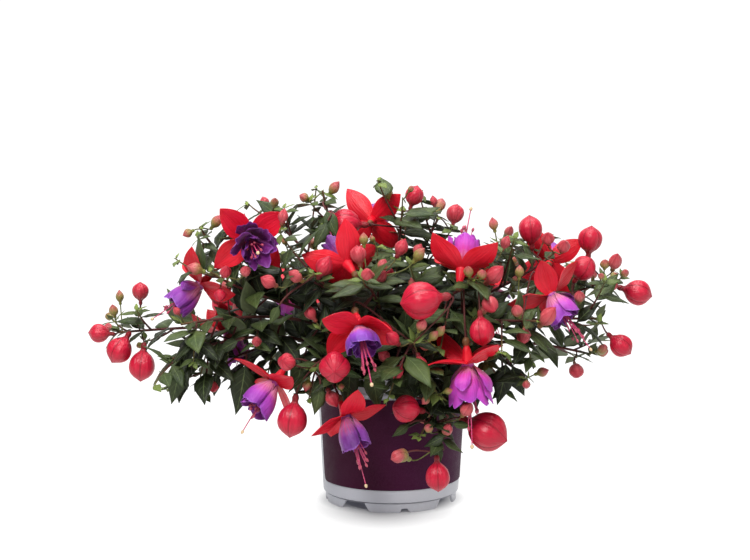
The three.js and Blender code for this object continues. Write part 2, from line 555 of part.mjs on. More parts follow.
function calyxSolid(f, data) {
  const bend = f.top.distanceTo(f.foot) * 0.4;
  const pedicel = bezier(f.top, f.top.clone().addScaledVector(f.axis, -bend),
    f.foot.clone().addScaledVector(f.away, bend), f.foot);
  const places = TUBE.map(([height]) => onBloom(f, 0, 0, height));
  const radii = TUBE.map(([, radius]) => radius * f.k);
  let body = tube([...places, pedicel.getPoint(0.5), f.foot], [...radii, PEDICEL, PEDICEL], 4, f.side);
  data.sepals.forEach((angles, i) => {
    body = body.add(sepalSolid(f, radians(45 + 90 * i), angles));
  });
  const reach = COROLLA.height + STAMENS.reach;
  for (let i = 0; i < STAMENS.count; i += 1) {
    const azimuth = radians(45 + (360 / STAMENS.count) * i);
    const { root, radius, anther } = STAMENS;
    body = body.add(threadSolid(f, azimuth, root, 4 + i, reach - 4 * i, radius, anther, 3.2));
  }
  return wholeOf(body.add(threadSolid(f, radians(105), 0, 5, STAMENS.style, 0.55, STAMENS.stigma, 2.6)));
}

// Bell of the corolla: radius and height at a share of the petal's length
function bell(data, share, whorl) {
  const wide = COROLLA.mouth * data.open * whorl.size;
  const tall = COROLLA.height * whorl.tall * (2 - data.open);
  const swell = Math.sin((Math.PI / 2) * Math.min(1, share / 0.72));
  const close = share > 0.72 ? (share - 0.72) * 0.3 * (1.4 - data.open) : 0;
  return { radius: whorl.foot + (wide - whorl.foot) * (swell - close), height: 1.4 + tall * share };
}

const PETAL_STATIONS = [[0, 12, 0], [0.45, 41, 0], [1, 38, -3]]; // along it, half its angle, hem at its sides

function petalSolid(f, data, whorl, azimuth) {
  const thick = COROLLA.thick / 2;
  const stations = whorl.size < 1 ? [PETAL_STATIONS[0], PETAL_STATIONS[2]] : PETAL_STATIONS;
  return loft(stations.map(([share, halfAngle, hem]) => {
    const { radius, height } = bell(data, share, whorl);
    const half = radians(halfAngle);
    return [
      onBloom(f, azimuth, radius + thick, height),
      onBloom(f, azimuth + half, radius, height + hem),
      onBloom(f, azimuth, radius - thick, height),
      onBloom(f, azimuth - half, radius, height + hem),
    ];
  }));
}

function corollaSolid(f, data) {
  const { ringInner, ringOuter, ringHeight, ringSides } = COROLLA;
  const profile = [[ringInner, 0.4], [ringOuter, 0.4], [ringOuter, ringHeight], [ringInner, ringHeight], [ringInner, 0.4]];
  const placed = new THREE.Matrix4().makeBasis(f.side, f.front, f.axis).setPosition(f.mouth)
    .scale(vec(f.k, f.k, f.k));
  const points = profile.map(([radius, height]) => new THREE.Vector2(radius, height));
  let body = solidFrom(new THREE.LatheGeometry(points, ringSides, Math.PI / ringSides).rotateX(Math.PI / 2).applyMatrix4(placed));
  for (const whorl of WHORLS) {
    for (let i = 0; i < whorl.petals; i += 1) {
      body = body.add(petalSolid(f, data, whorl, radians(whorl.turn + (360 / whorl.petals) * i)));
    }
  }
  return wholeOf(body);
}

// Growing the plant: fixed pieces first, then small buds and leaves where there is room

const boxesMeet = (a, b) => [0, 1, 2].every((i) => a.min[i] <= b.max[i] && b.min[i] <= a.max[i]);

class Room {
  constructor() {
    this.pieces = [];
  }
  take(owner, solid, test = solid) {
    this.pieces.push({ owner, solid: test, box: test.boundingBox() });
    return solid;
  }
  // True if the solid touches nothing of the other owners, or of its own where own is asked for
  free(owner, solid, own) {
    const box = solid.boundingBox();
    return this.pieces.every((piece) => (piece.owner === owner) !== own || !boxesMeet(piece.box, box)
      || piece.solid.intersect(solid).isEmpty());
  }
}

const room = new Room();
const stems = STEMS.map((data, index) => ({ data, index, ...stemPath(data) }));
const pathOf = (name) => stems.find((stem) => stem.data.name === name);

const solids = new Map();
solids.set("pot", room.take("pot", pot()));
solids.set("label", room.take("label", label()));
solids.set("soil", room.take("soil", soil(stems)));
for (const stem of stems) stem.solid = room.take(stem.data.name, stemSolid(stem));
for (const data of BLOOMS) {
  const f = bloomFrame(data, pathOf(data.on));
  solids.set(`${data.name}_calyx`, room.take(data.name, calyxSolid(f, data)));
  solids.set(`${data.name}_corolla`, room.take(data.name, corollaSolid(f, data)));
}
for (const data of BUDS) {
  const stem = pathOf(data.on);
  stem.solid = stem.solid.add(room.take(data.on, budSolid(handBud(data, stem))));
}

function settle(stem, made) {
  for (const attitude of ATTITUDES) {
    const { solid, wide, blade } = made(attitude);
    if (!room.free(stem.data.name, wide, false) || !room.free(stem.data.name, blade, true)) continue;
    room.take(stem.data.name, solid);
    stem.solid = stem.solid.add(solid);
    return;
  }
}

for (const stem of stems.filter(({ index }) => index % 2 === 0)) {
  settle(stem, (attitude) => {
    const bud = tipBud(stem, stem.index, 0, attitude);
    const blade = { ...bud, foot: bud.foot.clone().lerp(bud.middle, 0.3) };
    return { solid: budSolid(bud), wide: budSolid(bud, 0.4), blade: budSolid(blade) };
  });
}
for (const usual of PAIRS) {
  for (const stem of stems) {
    const pair = usual === 5 && stem.length < SHORT_STEM ? 4 : usual;
    for (const hand of [1, -1]) {
      settle(stem, (attitude) => {
        const leaf = leafAt(stem, stem.index, pair, hand, attitude);
        return { solid: leafSolid(leaf), wide: leafSolid(leaf, 0, 0.35), blade: leafSolid(leaf, 0.2, 0.2) };
      });
    }
  }
}
for (const stem of stems) solids.set(stem.data.name, wholeOf(stem.solid));

function materialFor(name) {
  const key = name.startsWith("stem") ? "leaf" : name.split("_").pop();
  const roughness = { pot: 0.45, label: 0.4, soil: 0.95, leaf: 0.55, calyx: 0.42, corolla: 0.5 }[key];
  return new THREE.MeshStandardMaterial({ color: COLOURS[key], roughness, metalness: 0 });
}

const fuchsia = new THREE.Group();
for (const [name, solid] of solids) {
  const mesh = new THREE.Mesh(geometryOf(solid), materialFor(name));
  mesh.name = name;
  fuchsia.add(mesh);
}

export default fuchsia;
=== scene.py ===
"""A double-flowered fuchsia in a white nursery pot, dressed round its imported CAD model.

Places and sizes are written in millimetres, in the frame of the CAD, and cast in metres.
"""

from __future__ import annotations

import logging
import math
from dataclasses import dataclass, field
from enum import Enum
from typing import Callable, Sequence

import bmesh
import bpy
import numpy as np
from mathutils import Matrix, Vector
from mathutils.bvhtree import BVHTree
from mathutils.kdtree import KDTree


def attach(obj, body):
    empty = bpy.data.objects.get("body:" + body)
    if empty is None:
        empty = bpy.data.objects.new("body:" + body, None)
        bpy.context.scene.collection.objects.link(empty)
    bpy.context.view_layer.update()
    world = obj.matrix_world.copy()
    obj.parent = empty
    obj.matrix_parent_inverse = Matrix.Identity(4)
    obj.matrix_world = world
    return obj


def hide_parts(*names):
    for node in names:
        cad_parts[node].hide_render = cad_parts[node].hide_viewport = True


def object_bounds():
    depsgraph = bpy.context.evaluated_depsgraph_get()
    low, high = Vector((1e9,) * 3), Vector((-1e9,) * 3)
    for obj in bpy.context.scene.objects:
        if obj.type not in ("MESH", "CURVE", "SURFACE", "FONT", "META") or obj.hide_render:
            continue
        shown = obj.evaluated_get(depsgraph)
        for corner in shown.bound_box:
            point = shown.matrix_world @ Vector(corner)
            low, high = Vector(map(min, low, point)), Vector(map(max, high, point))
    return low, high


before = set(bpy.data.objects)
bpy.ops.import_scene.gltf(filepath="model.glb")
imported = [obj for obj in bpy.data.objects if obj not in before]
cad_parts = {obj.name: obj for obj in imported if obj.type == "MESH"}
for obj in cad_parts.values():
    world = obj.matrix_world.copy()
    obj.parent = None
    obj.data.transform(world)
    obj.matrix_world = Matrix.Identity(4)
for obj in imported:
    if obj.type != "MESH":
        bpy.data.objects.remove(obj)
CAD_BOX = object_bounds()

LOG = logging.getLogger("fuchsia")
MM = 0.001
UP = Vector((0.0, 0.0, 1.0))
TAU = 2 * math.pi
BODY = "root"
Colour = tuple[float, float, float, float]
Place = tuple[float, float, float]
Wood = tuple[list[Vector], list[float], list[float]]
Values = float | np.ndarray
Socket = bpy.types.NodeSocket


class Slot(Enum):
    """The record's material slots."""

    POT = "pot_plastic"
    LABEL = "label_print"
    SOIL = "soil"
    FOLIAGE = "foliage"
    CALYX = "calyx_red"
    COROLLA = "corolla_violet"


# Plan of the plant

@dataclass(frozen=True)
class StemPlan:
    """A leafy stem: its tip, the pitch there, the ring of its root and its first upright stretch."""

    name: str
    tip: Place
    pitch: float
    root: float
    rise: float


@dataclass(frozen=True)
class BudPlan:
    """A closed bud: its stem, its middle, its radius and the way that its tip points."""

    on: str
    at: Place
    radius: float
    aim: Place


@dataclass(frozen=True)
class BloomPlan:
    """An open bloom: its stem, mouth, axis, turn, size, how wide its corolla opens, and the bend of each sepal."""

    name: str
    on: str
    mouth: Place
    axis: Place
    turn: float
    size: float
    spread: float
    sepals: tuple[tuple[float, float], ...]


@dataclass(frozen=True)
class Look:
    """The state of a bloom.

    age runs from fresh blue violet to fading magenta. loose is how far its petals part, deep how dark they are, partly
    their own deeper colour and partly painted shade, and tall their length against the usual. sepal_roll is how far,
    in radians, its sepals turn their faces to the front, and stamen_reach how far its stamens stand out of its mouth.
    """

    age: float
    loose: float
    deep: float
    tall: float
    sepal_roll: float
    stamen_reach: float


STEMS = tuple(StemPlan(*row) for row in (
    ("stem_left_far", (-214, -10, 134), -4, 37, 62),
    ("stem_left_upper", (-147, -30, 219), 62, 25, 75),
    ("stem_left_mid", (-157, -80, 151), -5, 31, 70),
    ("stem_left_low", (-165, -78, 124), -22, 43, 55),
    ("stem_left_hanging", (-136, -44, 106), -48, 45, 50),
    ("stem_top_left", (-53, -20, 246), 80, 10, 80),
    ("stem_top_back_left", (-98, 25, 226), 48, 20, 80),
    ("stem_top_mid", (9, -10, 230), 78, 8, 80),
    ("stem_top_right", (38, 20, 222), 60, 12, 80),
    ("stem_right_top", (127, -14, 198), 45, 24, 75),
    ("stem_right_far", (168, 2, 174), 28, 33, 68),
    ("stem_right_mid", (160, -30, 148), 2, 36, 62),
    ("stem_right_low", (156, -12, 117), -14, 44, 50),
    ("stem_right_front", (110, -78, 153), 5, 33, 66),
    ("stem_right_hanging", (104, -50, 102), -50, 44, 52),
    ("stem_front_right", (62, -80, 185), 34, 22, 78),
    ("stem_front_mid", (-19, -90, 186), 34, 22, 78),
    ("stem_front_left", (-58, -88, 190), 38, 22, 78),
    ("stem_left_front", (-136, -64, 188), 35, 21, 74),
    ("stem_front_low_left", (-60, -96, 120), -20, 42, 56),
    ("stem_front_low", (16, -112, 142), 4, 34, 62),
    ("stem_front_hanging", (38, -92, 58), -60, 44, 52),
    ("stem_back_left", (-125, 88, 160), 8, 30, 70),
    ("stem_back_left_low", (-88, 118, 108), -28, 43, 55),
    ("stem_back_mid", (-18, 136, 166), 12, 28, 70),
    ("stem_back_right_low", (52, 132, 108), -28, 43, 55),
    ("stem_back_right", (122, 92, 160), 10, 30, 70),
))

BUDS = tuple(BudPlan(*row) for row in (
    ("stem_left_far", (-228, -14, 134), 7.0, (-1, 0, 0.05)),
    ("stem_left_far", (-211, -24, 122), 9.3, (-0.5, -0.2, -0.85)),
    ("stem_left_far", (-194, -20, 109), 10.3, (-0.1, -0.1, -1)),
    ("stem_left_far", (-197, 2, 165), 6.2, (0, 0, 1)),
    ("stem_top_mid", (18, -5, 241), 6.8, (0.3, 0, 0.95)),
    ("stem_front_low", (20, -118, 174), 13.0, (-0.9, -0.3, -0.1)),
    ("stem_front_low_left", (-74, -94, 81), 11.0, (-0.15, -0.1, -1)),
    ("stem_front_low_left", (-42, -116, 125), 10.8, (0.02, -1, -0.14)),
    ("stem_front_low_left", (-77, -112, 128), 6.2, (-0.4, -0.8, 0.3)),
    ("stem_front_hanging", (34, -94, 38), 9.3, (0.05, -0.05, -1)),
    ("stem_front_hanging", (72, -82, 70), 14.0, (0.85, -0.45, -0.35)),
    ("stem_front_hanging", (10, -100, 91), 9.6, (-0.8, -0.5, 0.2)),
    ("stem_front_hanging", (4, -104, 56), 4.6, (-0.9, -0.2, -0.35)),
    ("stem_front_right", (66, -98, 148), 9.0, (0.1, -0.2, -1)),
    ("stem_right_top", (109, 2, 214), 9.5, (-0.1, -0.1, 1)),
    ("stem_right_far", (156, 3, 206), 9.0, (0.1, 0, 1)),
    ("stem_right_far", (194, 0, 164), 9.5, (0.95, -0.1, -0.25)),
    ("stem_right_mid", (178, -26, 126), 8.2, (0.75, -0.1, -0.65)),
    ("stem_right_low", (143, -30, 107), 5.5, (0.1, -0.8, -0.6)),
    ("stem_right_mid", (149, -20, 186), 9.0, (0.3, -0.3, 0.5)),
    ("stem_top_left", (-36, -24, 221), 10.5, (-0.95, -0.25, 0.1)),
    ("stem_front_mid", (-25, -92, 205), 5.6, (-0.2, 0, 1)),
    ("stem_back_left", (-140, 98, 142), 9.5, (-0.4, 0.3, -0.9)),
    ("stem_back_mid", (-22, 152, 150), 10.5, (0, 0.5, -0.9)),
    ("stem_back_right_low", (62, 142, 82), 9.5, (0.1, 0.2, -1)),
    ("stem_top_right", (52, 48, 222), 7.0, (0.2, 0.4, 0.9)),
))

BLOOMS = tuple(BloomPlan(*row) for row in (
    ("bloom_upper_left", "stem_left_upper", (-106, -62, 213), (0.22, -0.94, -0.26), 0, 0.98, 0.9,
     ((78, 62), (80, 76), (105, 95), (90, 108))),
    ("bloom_left", "stem_left_mid", (-146, -45, 176), (-0.72, -0.3, -0.62), 20, 0.92, 0.84,
     ((100, 120), (95, 125), (100, 115), (100, 120))),
    ("bloom_low_left", "stem_front_low_left", (-88, -80, 107), (-0.58, -0.37, -0.72), 154, 0.95, 0.85,
     ((80, 64), (78, 30), (93, 97), (97, 60))),
    ("bloom_front_mid", "stem_front_low", (-24, -114, 153), (0.2, -0.66, -0.72), 14, 1.0, 0.86,
     ((80, 20), (90, 75), (108, 60), (110, 50))),
    ("bloom_front_low", "stem_front_low_left", (-34, -94, 84), (0.34, -0.36, -0.86), 151, 0.92, 0.85,
     ((80, 64), (85, 72), (86, 91), (90, 121))),
    ("bloom_front_right", "stem_front_right", (56, -92, 123), (0.08, -0.1, -0.99), 45, 1.05, 0.96,
     ((118, 103), (108, 76), (128, 138), (130, 78))),
    ("bloom_right", "stem_right_front", (121, -48, 169), (0.51, -0.33, -0.8), 4, 0.9, 0.9,
     ((113, 107), (140, 122), (105, 103), (80, 50))),
    ("bloom_upper_right", "stem_front_right", (52, -68, 192), (0.14, 0.5, 0.85), 12, 1.0, 0.82,
     ((78, 42), (78, 50), (82, 90), (76, 22))),
    ("bloom_upper_mid", "stem_front_mid", (-34, -70, 196), (-0.45, 0.72, 0.52), 40, 0.95, 0.6,
     ((80, 48), (80, 50), (80, 40), (80, 40))),
    ("bloom_top", "stem_top_mid", (-15, 8, 220), (0.1, 0.99, 0.03), -88, 0.9, 0.8,
     ((81, 55), (78, 60), (110, 105), (80, 45))),
    ("bloom_right_back", "stem_right_top", (126, 26, 186), (0.1, 0.97, 0.1), 14, 0.85, 0.8,
     ((80, 95), (80, 85), (90, 100), (85, 95))),
    ("bloom_inner_left", "stem_left_hanging", (-127, -23, 136), (0.4, -0.05, -0.9), 15, 0.85, 0.8,
     ((125, 160), (125, 165), (125, 165), (120, 150))),
    ("bloom_back_left", "stem_back_left", (-78, 124, 150), (-0.15, 0.35, -0.92), 30, 1.0, 1.05,
     ((100, 90), (115, 125), (105, 70), (100, 95))),
    ("bloom_back_right", "stem_back_right", (82, 122, 152), (0.2, 0.3, -0.93), 5, 1.0, 1.0,
     ((105, 110), (112, 80), (110, 125), (100, 90))),
))

# Large leaves that hang clear of the rest: the stem, the foot and the tip of each
BROAD_LEAVES = (
    ("stem_left_hanging", (-110, -62, 120), (-119, -62, 77)), ("stem_left_hanging", (-132, -58, 111), (-136, -58, 91)),
    ("stem_left_low", (-158, -74, 122), (-167, -74, 87)), ("stem_left_low", (-146, -84, 143), (-161, -84, 116)),
    ("stem_right_hanging", (87, -58, 120), (80, -58, 84)), ("stem_right_hanging", (91, -52, 116), (103, -52, 90)),
    ("stem_front_low_left", (-53, -97, 109), (-58, -97, 84)), ("stem_front_hanging", (18, -92, 98), (-7, -92, 104)),
    ("stem_front_hanging", (13, -96, 79), (-1, -96, 69)), ("stem_front_hanging", (40, -92, 85), (24, -92, 93)),
    ("stem_front_hanging", (40, -96, 70), (22, -96, 62)), ("stem_front_hanging", (34, -94, 62), (36, -94, 47)),
    ("stem_front_hanging", (44, -92, 78), (61, -92, 76)), ("stem_top_back_left", (-84, 12, 218), (-106, 12, 238)),
    ("stem_front_left", (-83, -92, 167), (-92, -92, 152)), ("stem_left_low", (-113, -80, 139), (-133, -80, 130)),
    ("stem_front_mid", (-31, -74, 120), (-35, -78, 85)), ("stem_front_mid", (-14, -72, 118), (-10, -78, 84)),
    ("stem_front_low", (3, -74, 118), (7, -78, 86)), ("stem_front_right", (23, -74, 118), (27, -79, 85)),
    ("stem_front_right", (41, -68, 118), (46, -73, 84)), ("stem_front_low_left", (-49, -70, 116), (-53, -74, 86)),
    ("stem_right_hanging", (60, -54, 114), (66, -58, 80)), ("stem_front_left", (-66, -62, 124), (-74, -66, 92)),
    ("stem_front_mid", (-38, -78, 138), (-52, -84, 108)), ("stem_front_right", (30, -84, 140), (16, -90, 112)),
    ("stem_top_left", (-48, -55, 226), (-60, -62, 205)), ("stem_top_left", (-50, -50, 234), (-40, -60, 214)),
)

LOOKS = {
    "bloom_upper_left": Look(0.45, 1.5, 0.35, 0.95, 0.45, 28.0),
    "bloom_left": Look(0.3, 0.3, 0.1, 1.0, 0.3, 34.0),
    "bloom_low_left": Look(0.42, 0.2, 0.0, 1.0, 0.0, 32.0),
    "bloom_front_mid": Look(0.0, 0.0, 0.0, 0.64, 0.4, 38.0),
    "bloom_front_low": Look(0.25, 0.1, 0.7, 1.0, 0.35, 44.0),
    "bloom_front_right": Look(0.9, 0.8, 0.0, 1.08, 0.0, 44.0),
    "bloom_right": Look(0.35, 0.3, 0.0, 0.95, 0.45, 44.0),
    "bloom_upper_right": Look(0.95, 0.2, 0.0, 0.82, 0.35, 33.0),
    "bloom_upper_mid": Look(0.5, 0.3, 0.8, 0.8, 0.45, 30.0),
    "bloom_top": Look(0.5, 0.3, 0.8, 0.8, 0.45, 30.0),
    "bloom_right_back": Look(0.5, 0.3, 0.3, 0.9, 0.45, 42.0),
    "bloom_inner_left": Look(0.9, 0.5, 0.4, 1.0, 0.2, 42.0),
    "bloom_back_left": Look(0.6, 0.7, 0.0, 1.0, 0.0, 42.0),
    "bloom_back_right": Look(0.15, 0.4, 0.3, 1.0, 0.0, 42.0),
}
# Parts of blooms that leaves may hide from the front
VEILED = ("bloom_inner_left_calyx", "bloom_inner_left_corolla", "bloom_right_back_corolla", "bloom_upper_mid_corolla",
          "bloom_top_corolla")
# Side shoots of the stems at the outline, where the crown is open
FEW_SHOOTS = {
    "stem_left_far": 3, "stem_left_upper": 3, "stem_left_mid": 5, "stem_left_low": 3, "stem_left_hanging": 3,
    "stem_top_left": 3, "stem_top_back_left": 3, "stem_right_far": 4, "stem_right_mid": 4, "stem_right_low": 2,
    "stem_right_hanging": 4,
}
# Young buds that stand out of the leaves: middle, radius and ripeness
YOUNG_BUDS = (
    (-123, -85, 191, 4.3, 0.7), (-108, -90, 192, 4.0, 0.45), (-91, -95, 185, 5.0, 0.6), (-71, -95, 189, 4.6, 0.45),
    (-50, -85, 195, 6.6, 0.8), (-25, -70, 200, 5.0, 0.5), (-128, -75, 172, 4.5, 0.9), (7, -75, 208, 5.0, 0.7),
    (-9, -95, 188, 5.0, 0.45), (-7, -92, 197, 4.0, 0.35), (76, -85, 189, 6.0, 0.65), (119, -40, 211, 5.0, 0.6),
    (131, -40, 205, 5.0, 0.5), (72, -95, 168, 6.3, 0.6), (98, -80, 142, 5.5, 0.5), (116, -80, 157, 6.0, 0.55),
    (93, -80, 161, 4.6, 0.35), (143, -45, 167, 4.4, 0.35), (173, -20, 191, 5.3, 0.5), (165, -20, 189, 3.8, 0.1),
    (172, -15, 172, 4.2, 0.5), (86, -50, 209, 4.0, 0.6), (21, -105, 125, 5.0, 0.8), (4, -105, 119, 4.2, 0.8),
    (0, -115, 146, 5.2, 0.85), (55, -100, 91, 5.2, 0.5), (41, -95, 74, 4.0, 0.4), (27, -98, 76, 3.4, 0.2),
    (7, -100, 56, 5.2, 0.2), (163, -30, 124, 4.0, 0.15), (-44, -20, 248, 4.0, 0.25), (-67, -25, 241, 3.6, 0.2),
    (-91, 0, 235, 3.4, 0.05), (-134, -30, 223, 4.0, 0.2), (-156, -30, 214, 3.4, 0.2), (-216, -15, 152, 3.8, 0.1),
    (-213, 0, 161, 3.2, 0.1), (-44, -97, 98, 5.5, 0.7), (-21, -75, 214, 3.6, 0.1), (-3, 0, 242, 4.2, 0.05),
    (30, -110, 147, 3.4, 0.1), (35, -108, 150, 3.2, 0.05), (-63, -90, 107, 3.6, 0.25), (56, -92, 192, 3.6, 0.1),
    (66, -92, 190, 3.6, 0.15), (96, -60, 188, 3.6, 0.1), (20, -80, 203, 4.0, 0.05),
)
# Lowest and highest reach of the crown over its width, seen from the front
CROWN_FLOOR = ((-240, 112), (-205, 108), (-186, 76), (-150, 72), (-60, 74), (-8, 78), (4, 42), (50, 42), (64, 70),
               (100, 74), (118, 98), (156, 102), (176, 116), (206, 145))
CROWN_ROOF = ((-240, 140), (-205, 162), (-180, 172), (-165, 200), (-150, 222), (-118, 236), (-70, 248), (-13, 257),
              (38, 245), (70, 228), (101, 222), (156, 214), (173, 196), (206, 165))
CROWN_MIDDLE = Vector((-10.0, 0.0, 120.0))
CAMERA_PLACE = Vector((-12.64, -1478.0, 361.8))

# Turn about the stem in degrees, extra hang, and size, tried in order until the leaf has room
ATTITUDES = ((0, 0, 1), (24, 0, 1), (-24, 0, 1), (0, 0.45, 1), (0, -0.4, 1), (45, 0.2, 0.85), (-45, 0.2, 0.85),
             (0, 0.8, 0.75), (20, -0.5, 0.75), (-20, -0.5, 0.7))
# Length of the leaves of each pair, counted from the tip of a stem, and distance of the pair from that tip
LEAF_LENGTHS = (13.0, 20.0, 27.0, 33.0, 38.0, 40.0, 38.0, 35.0, 32.0, 28.0)
NODE_PLACES = (2.0, 9.0, 22.0, 40.0, 61.0, 84.0, 108.0, 132.0, 156.0, 178.0)
# Pairs that the CAD has, the last of them one place nearer to the tip on a short stem
CAD_PAIRS = (1, 3, 5)
SHORT_STEM = 118.0
# How near a made tip must come to a corner of the CAD's to be the same one
SAME_TIP = 0.06
# Distance from the tip of each pair of a side shoot, and length of its leaves
SHOOT_PAIRS = ((0.6, 9.0), (3.0, 14.5), (8.0, 20.0), (16.0, 27.0), (25.0, 32.0), (35.0, 35.0))
SOIL_TOP = 95.0
HOLE_DEPTH = 13.0
# How many leaf points above a leaf leave it in full painted shade, and the depth of that painted shade
DEEP_COVER = 12.0
DEEP_SHADE = 0.92
# Place along the axis and radius of a large and a small bud, as shares of its radius
RIPE_PROFILE = ((-1.80, 0.14), (-1.68, 0.21), (-1.53, 0.25), (-1.38, 0.21), (-1.24, 0.23), (-1.08, 0.36), (-0.88, 0.64),
                (-0.55, 0.90), (-0.15, 1.02), (0.25, 1.02), (0.58, 0.87), (0.82, 0.62), (0.98, 0.36), (1.09, 0.17),
                (1.20, 0.0))
GREEN_PROFILE = ((-1.85, 0.12), (-1.72, 0.31), (-1.50, 0.39), (-1.28, 0.33), (-1.10, 0.42), (-0.78, 0.72),
                 (-0.35, 0.96), (0.10, 0.99), (0.55, 0.82), (0.92, 0.54), (1.20, 0.27), (1.36, 0.12), (1.48, 0.0))


# Small numbers and directions

class Draws:
    """The same numbers from 0 to 1 each time, for one leaf, bud or bloom."""

    limit = 4294967296

    def __init__(self, seed: int) -> None:
        """Starts the run of numbers that belongs to a seed.

        Args:
            seed: Number that picks the series.
        """
        self.state = (seed * 7919 + 12345) % self.limit
        self.next()
        self.next()

    def next(self) -> float:
        """The next number, from 0 to 1."""
        self.state = (self.state * 1664525 + 1013904223) % self.limit
        return self.state / self.limit

    def between(self, low: float, high: float) -> float:
        """The next number, from low to high."""
        return low + (high - low) * self.next()


def across(direction: Vector) -> tuple[Vector, Vector]:
    """Two unit vectors across a direction, the first one level where it can be.

    Args:
        direction: A unit vector.

    Returns:
        The level vector and the one that completes the frame.
    """
    level = UP.cross(direction)
    if level.length_squared < 1e-6:
        level = Vector((1.0, 0.0, 0.0))
    level.normalize()
    return level, direction.cross(level).normalized()


def around(direction: Vector, angle: float) -> Vector:
    """The unit vector across a direction that is turned by an angle from the level one."""
    level, rise = across(direction)
    return level * math.cos(angle) + rise * math.sin(angle)


def bezier(ends: Sequence[Vector], count: int) -> list[Vector]:
    """Points along a cubic Bezier curve.

    Args:
        ends: Its four control points.
        count: Number of spans.

    Returns:
        The points, in even steps of the parameter.
    """
    a, b, c, d = ends
    points = []
    for i in range(count + 1):
        t = i / count
        s = 1 - t
        points.append(a * s ** 3 + b * (3 * s * s * t) + c * (3 * s * t * t) + d * t ** 3)
    return points


def stalk_line(foot: Vector, start: Vector, top: Vector, aim: Vector, count: int) -> list[Vector]:
    """A stalk that leaves its foot one way and meets its top along the aim of what it carries.

    Args:
        foot: Its foot, on a stem.
        start: Its way at the foot.
        top: Its end.
        aim: Its way at the end.
        count: Number of spans.

    Returns:
        Its points.
    """
    bend = (top - foot).length * 0.4
    return bezier((foot, foot + start * bend, top - aim * bend, top), count)


def unit(rows: np.ndarray) -> np.ndarray:
    """Rows of vectors, each brought to length one."""
    return rows / np.maximum(np.linalg.norm(rows, axis=-1, keepdims=True), 1e-9)


def circle(steps: int) -> np.ndarray:
    """Even angles round a full turn."""
    return np.arange(steps) * TAU / steps


def polar(radius: Values, angle: Values, height: Values) -> np.ndarray:
    """Points at a radius and an angle about Z, at a height."""
    return np.stack(np.broadcast_arrays(radius * np.cos(angle), radius * np.sin(angle), height), axis=-1)


# Meshes

def shown(name: str, mesh: bpy.types.Mesh) -> bpy.types.Object:
    """A new object of the scene, at the origin, that shows a mesh.

    Args:
        name: Name of the object.
        mesh: Its mesh.

    Returns:
        The object.
    """
    piece = bpy.data.objects.new(name, mesh)
    bpy.context.scene.collection.objects.link(piece)
    return piece


def give(mesh: bpy.types.Mesh, **values: object) -> bpy.types.Mesh:
    """Writes attributes on the points of a mesh.

    Args:
        mesh: The mesh.
        values: One value a point; a whole number for kind, a vector for turn, else a number.

    Returns:
        The same mesh.
    """
    for name, value in values.items():
        kind = {"turn": "FLOAT_VECTOR", "kind": "INT"}.get(name, "FLOAT")
        flat = np.array(value, dtype=np.int32 if kind == "INT" else np.float32).ravel()
        mesh.attributes.new(name, kind, "POINT").data.foreach_set("vector" if name == "turn" else "value", flat)
    return mesh


def made_plain(piece: bpy.types.Object, modifier: bpy.types.Modifier) -> bpy.types.Object:
    """The piece with the result of its modifier as a plain mesh, and the modifier removed.

    Args:
        piece: The piece.
        modifier: The modifier that shapes it.

    Returns:
        The same piece.
    """
    graph = bpy.context.evaluated_depsgraph_get()
    graph.update()
    mesh = bpy.data.meshes.new_from_object(piece.evaluated_get(graph), preserve_all_data_layers=True, depsgraph=graph)
    piece.modifiers.remove(modifier)
    piece.data = mesh
    mesh.name = piece.name
    return piece


def settle(piece: bpy.types.Object, slot: Slot, *nodes: str) -> None:
    """Hands a finished piece over to the frame.

    Args:
        piece: The piece, in place.
        slot: Material slot of the record that the piece belongs to; not used.
        nodes: CAD nodes that it stands for.
    """
    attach(piece, BODY)
    if nodes:
        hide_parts(*nodes)
    LOG.info("%s: %d faces, in place of %s", piece.name, len(piece.data.polygons), ", ".join(nodes) or "nothing")


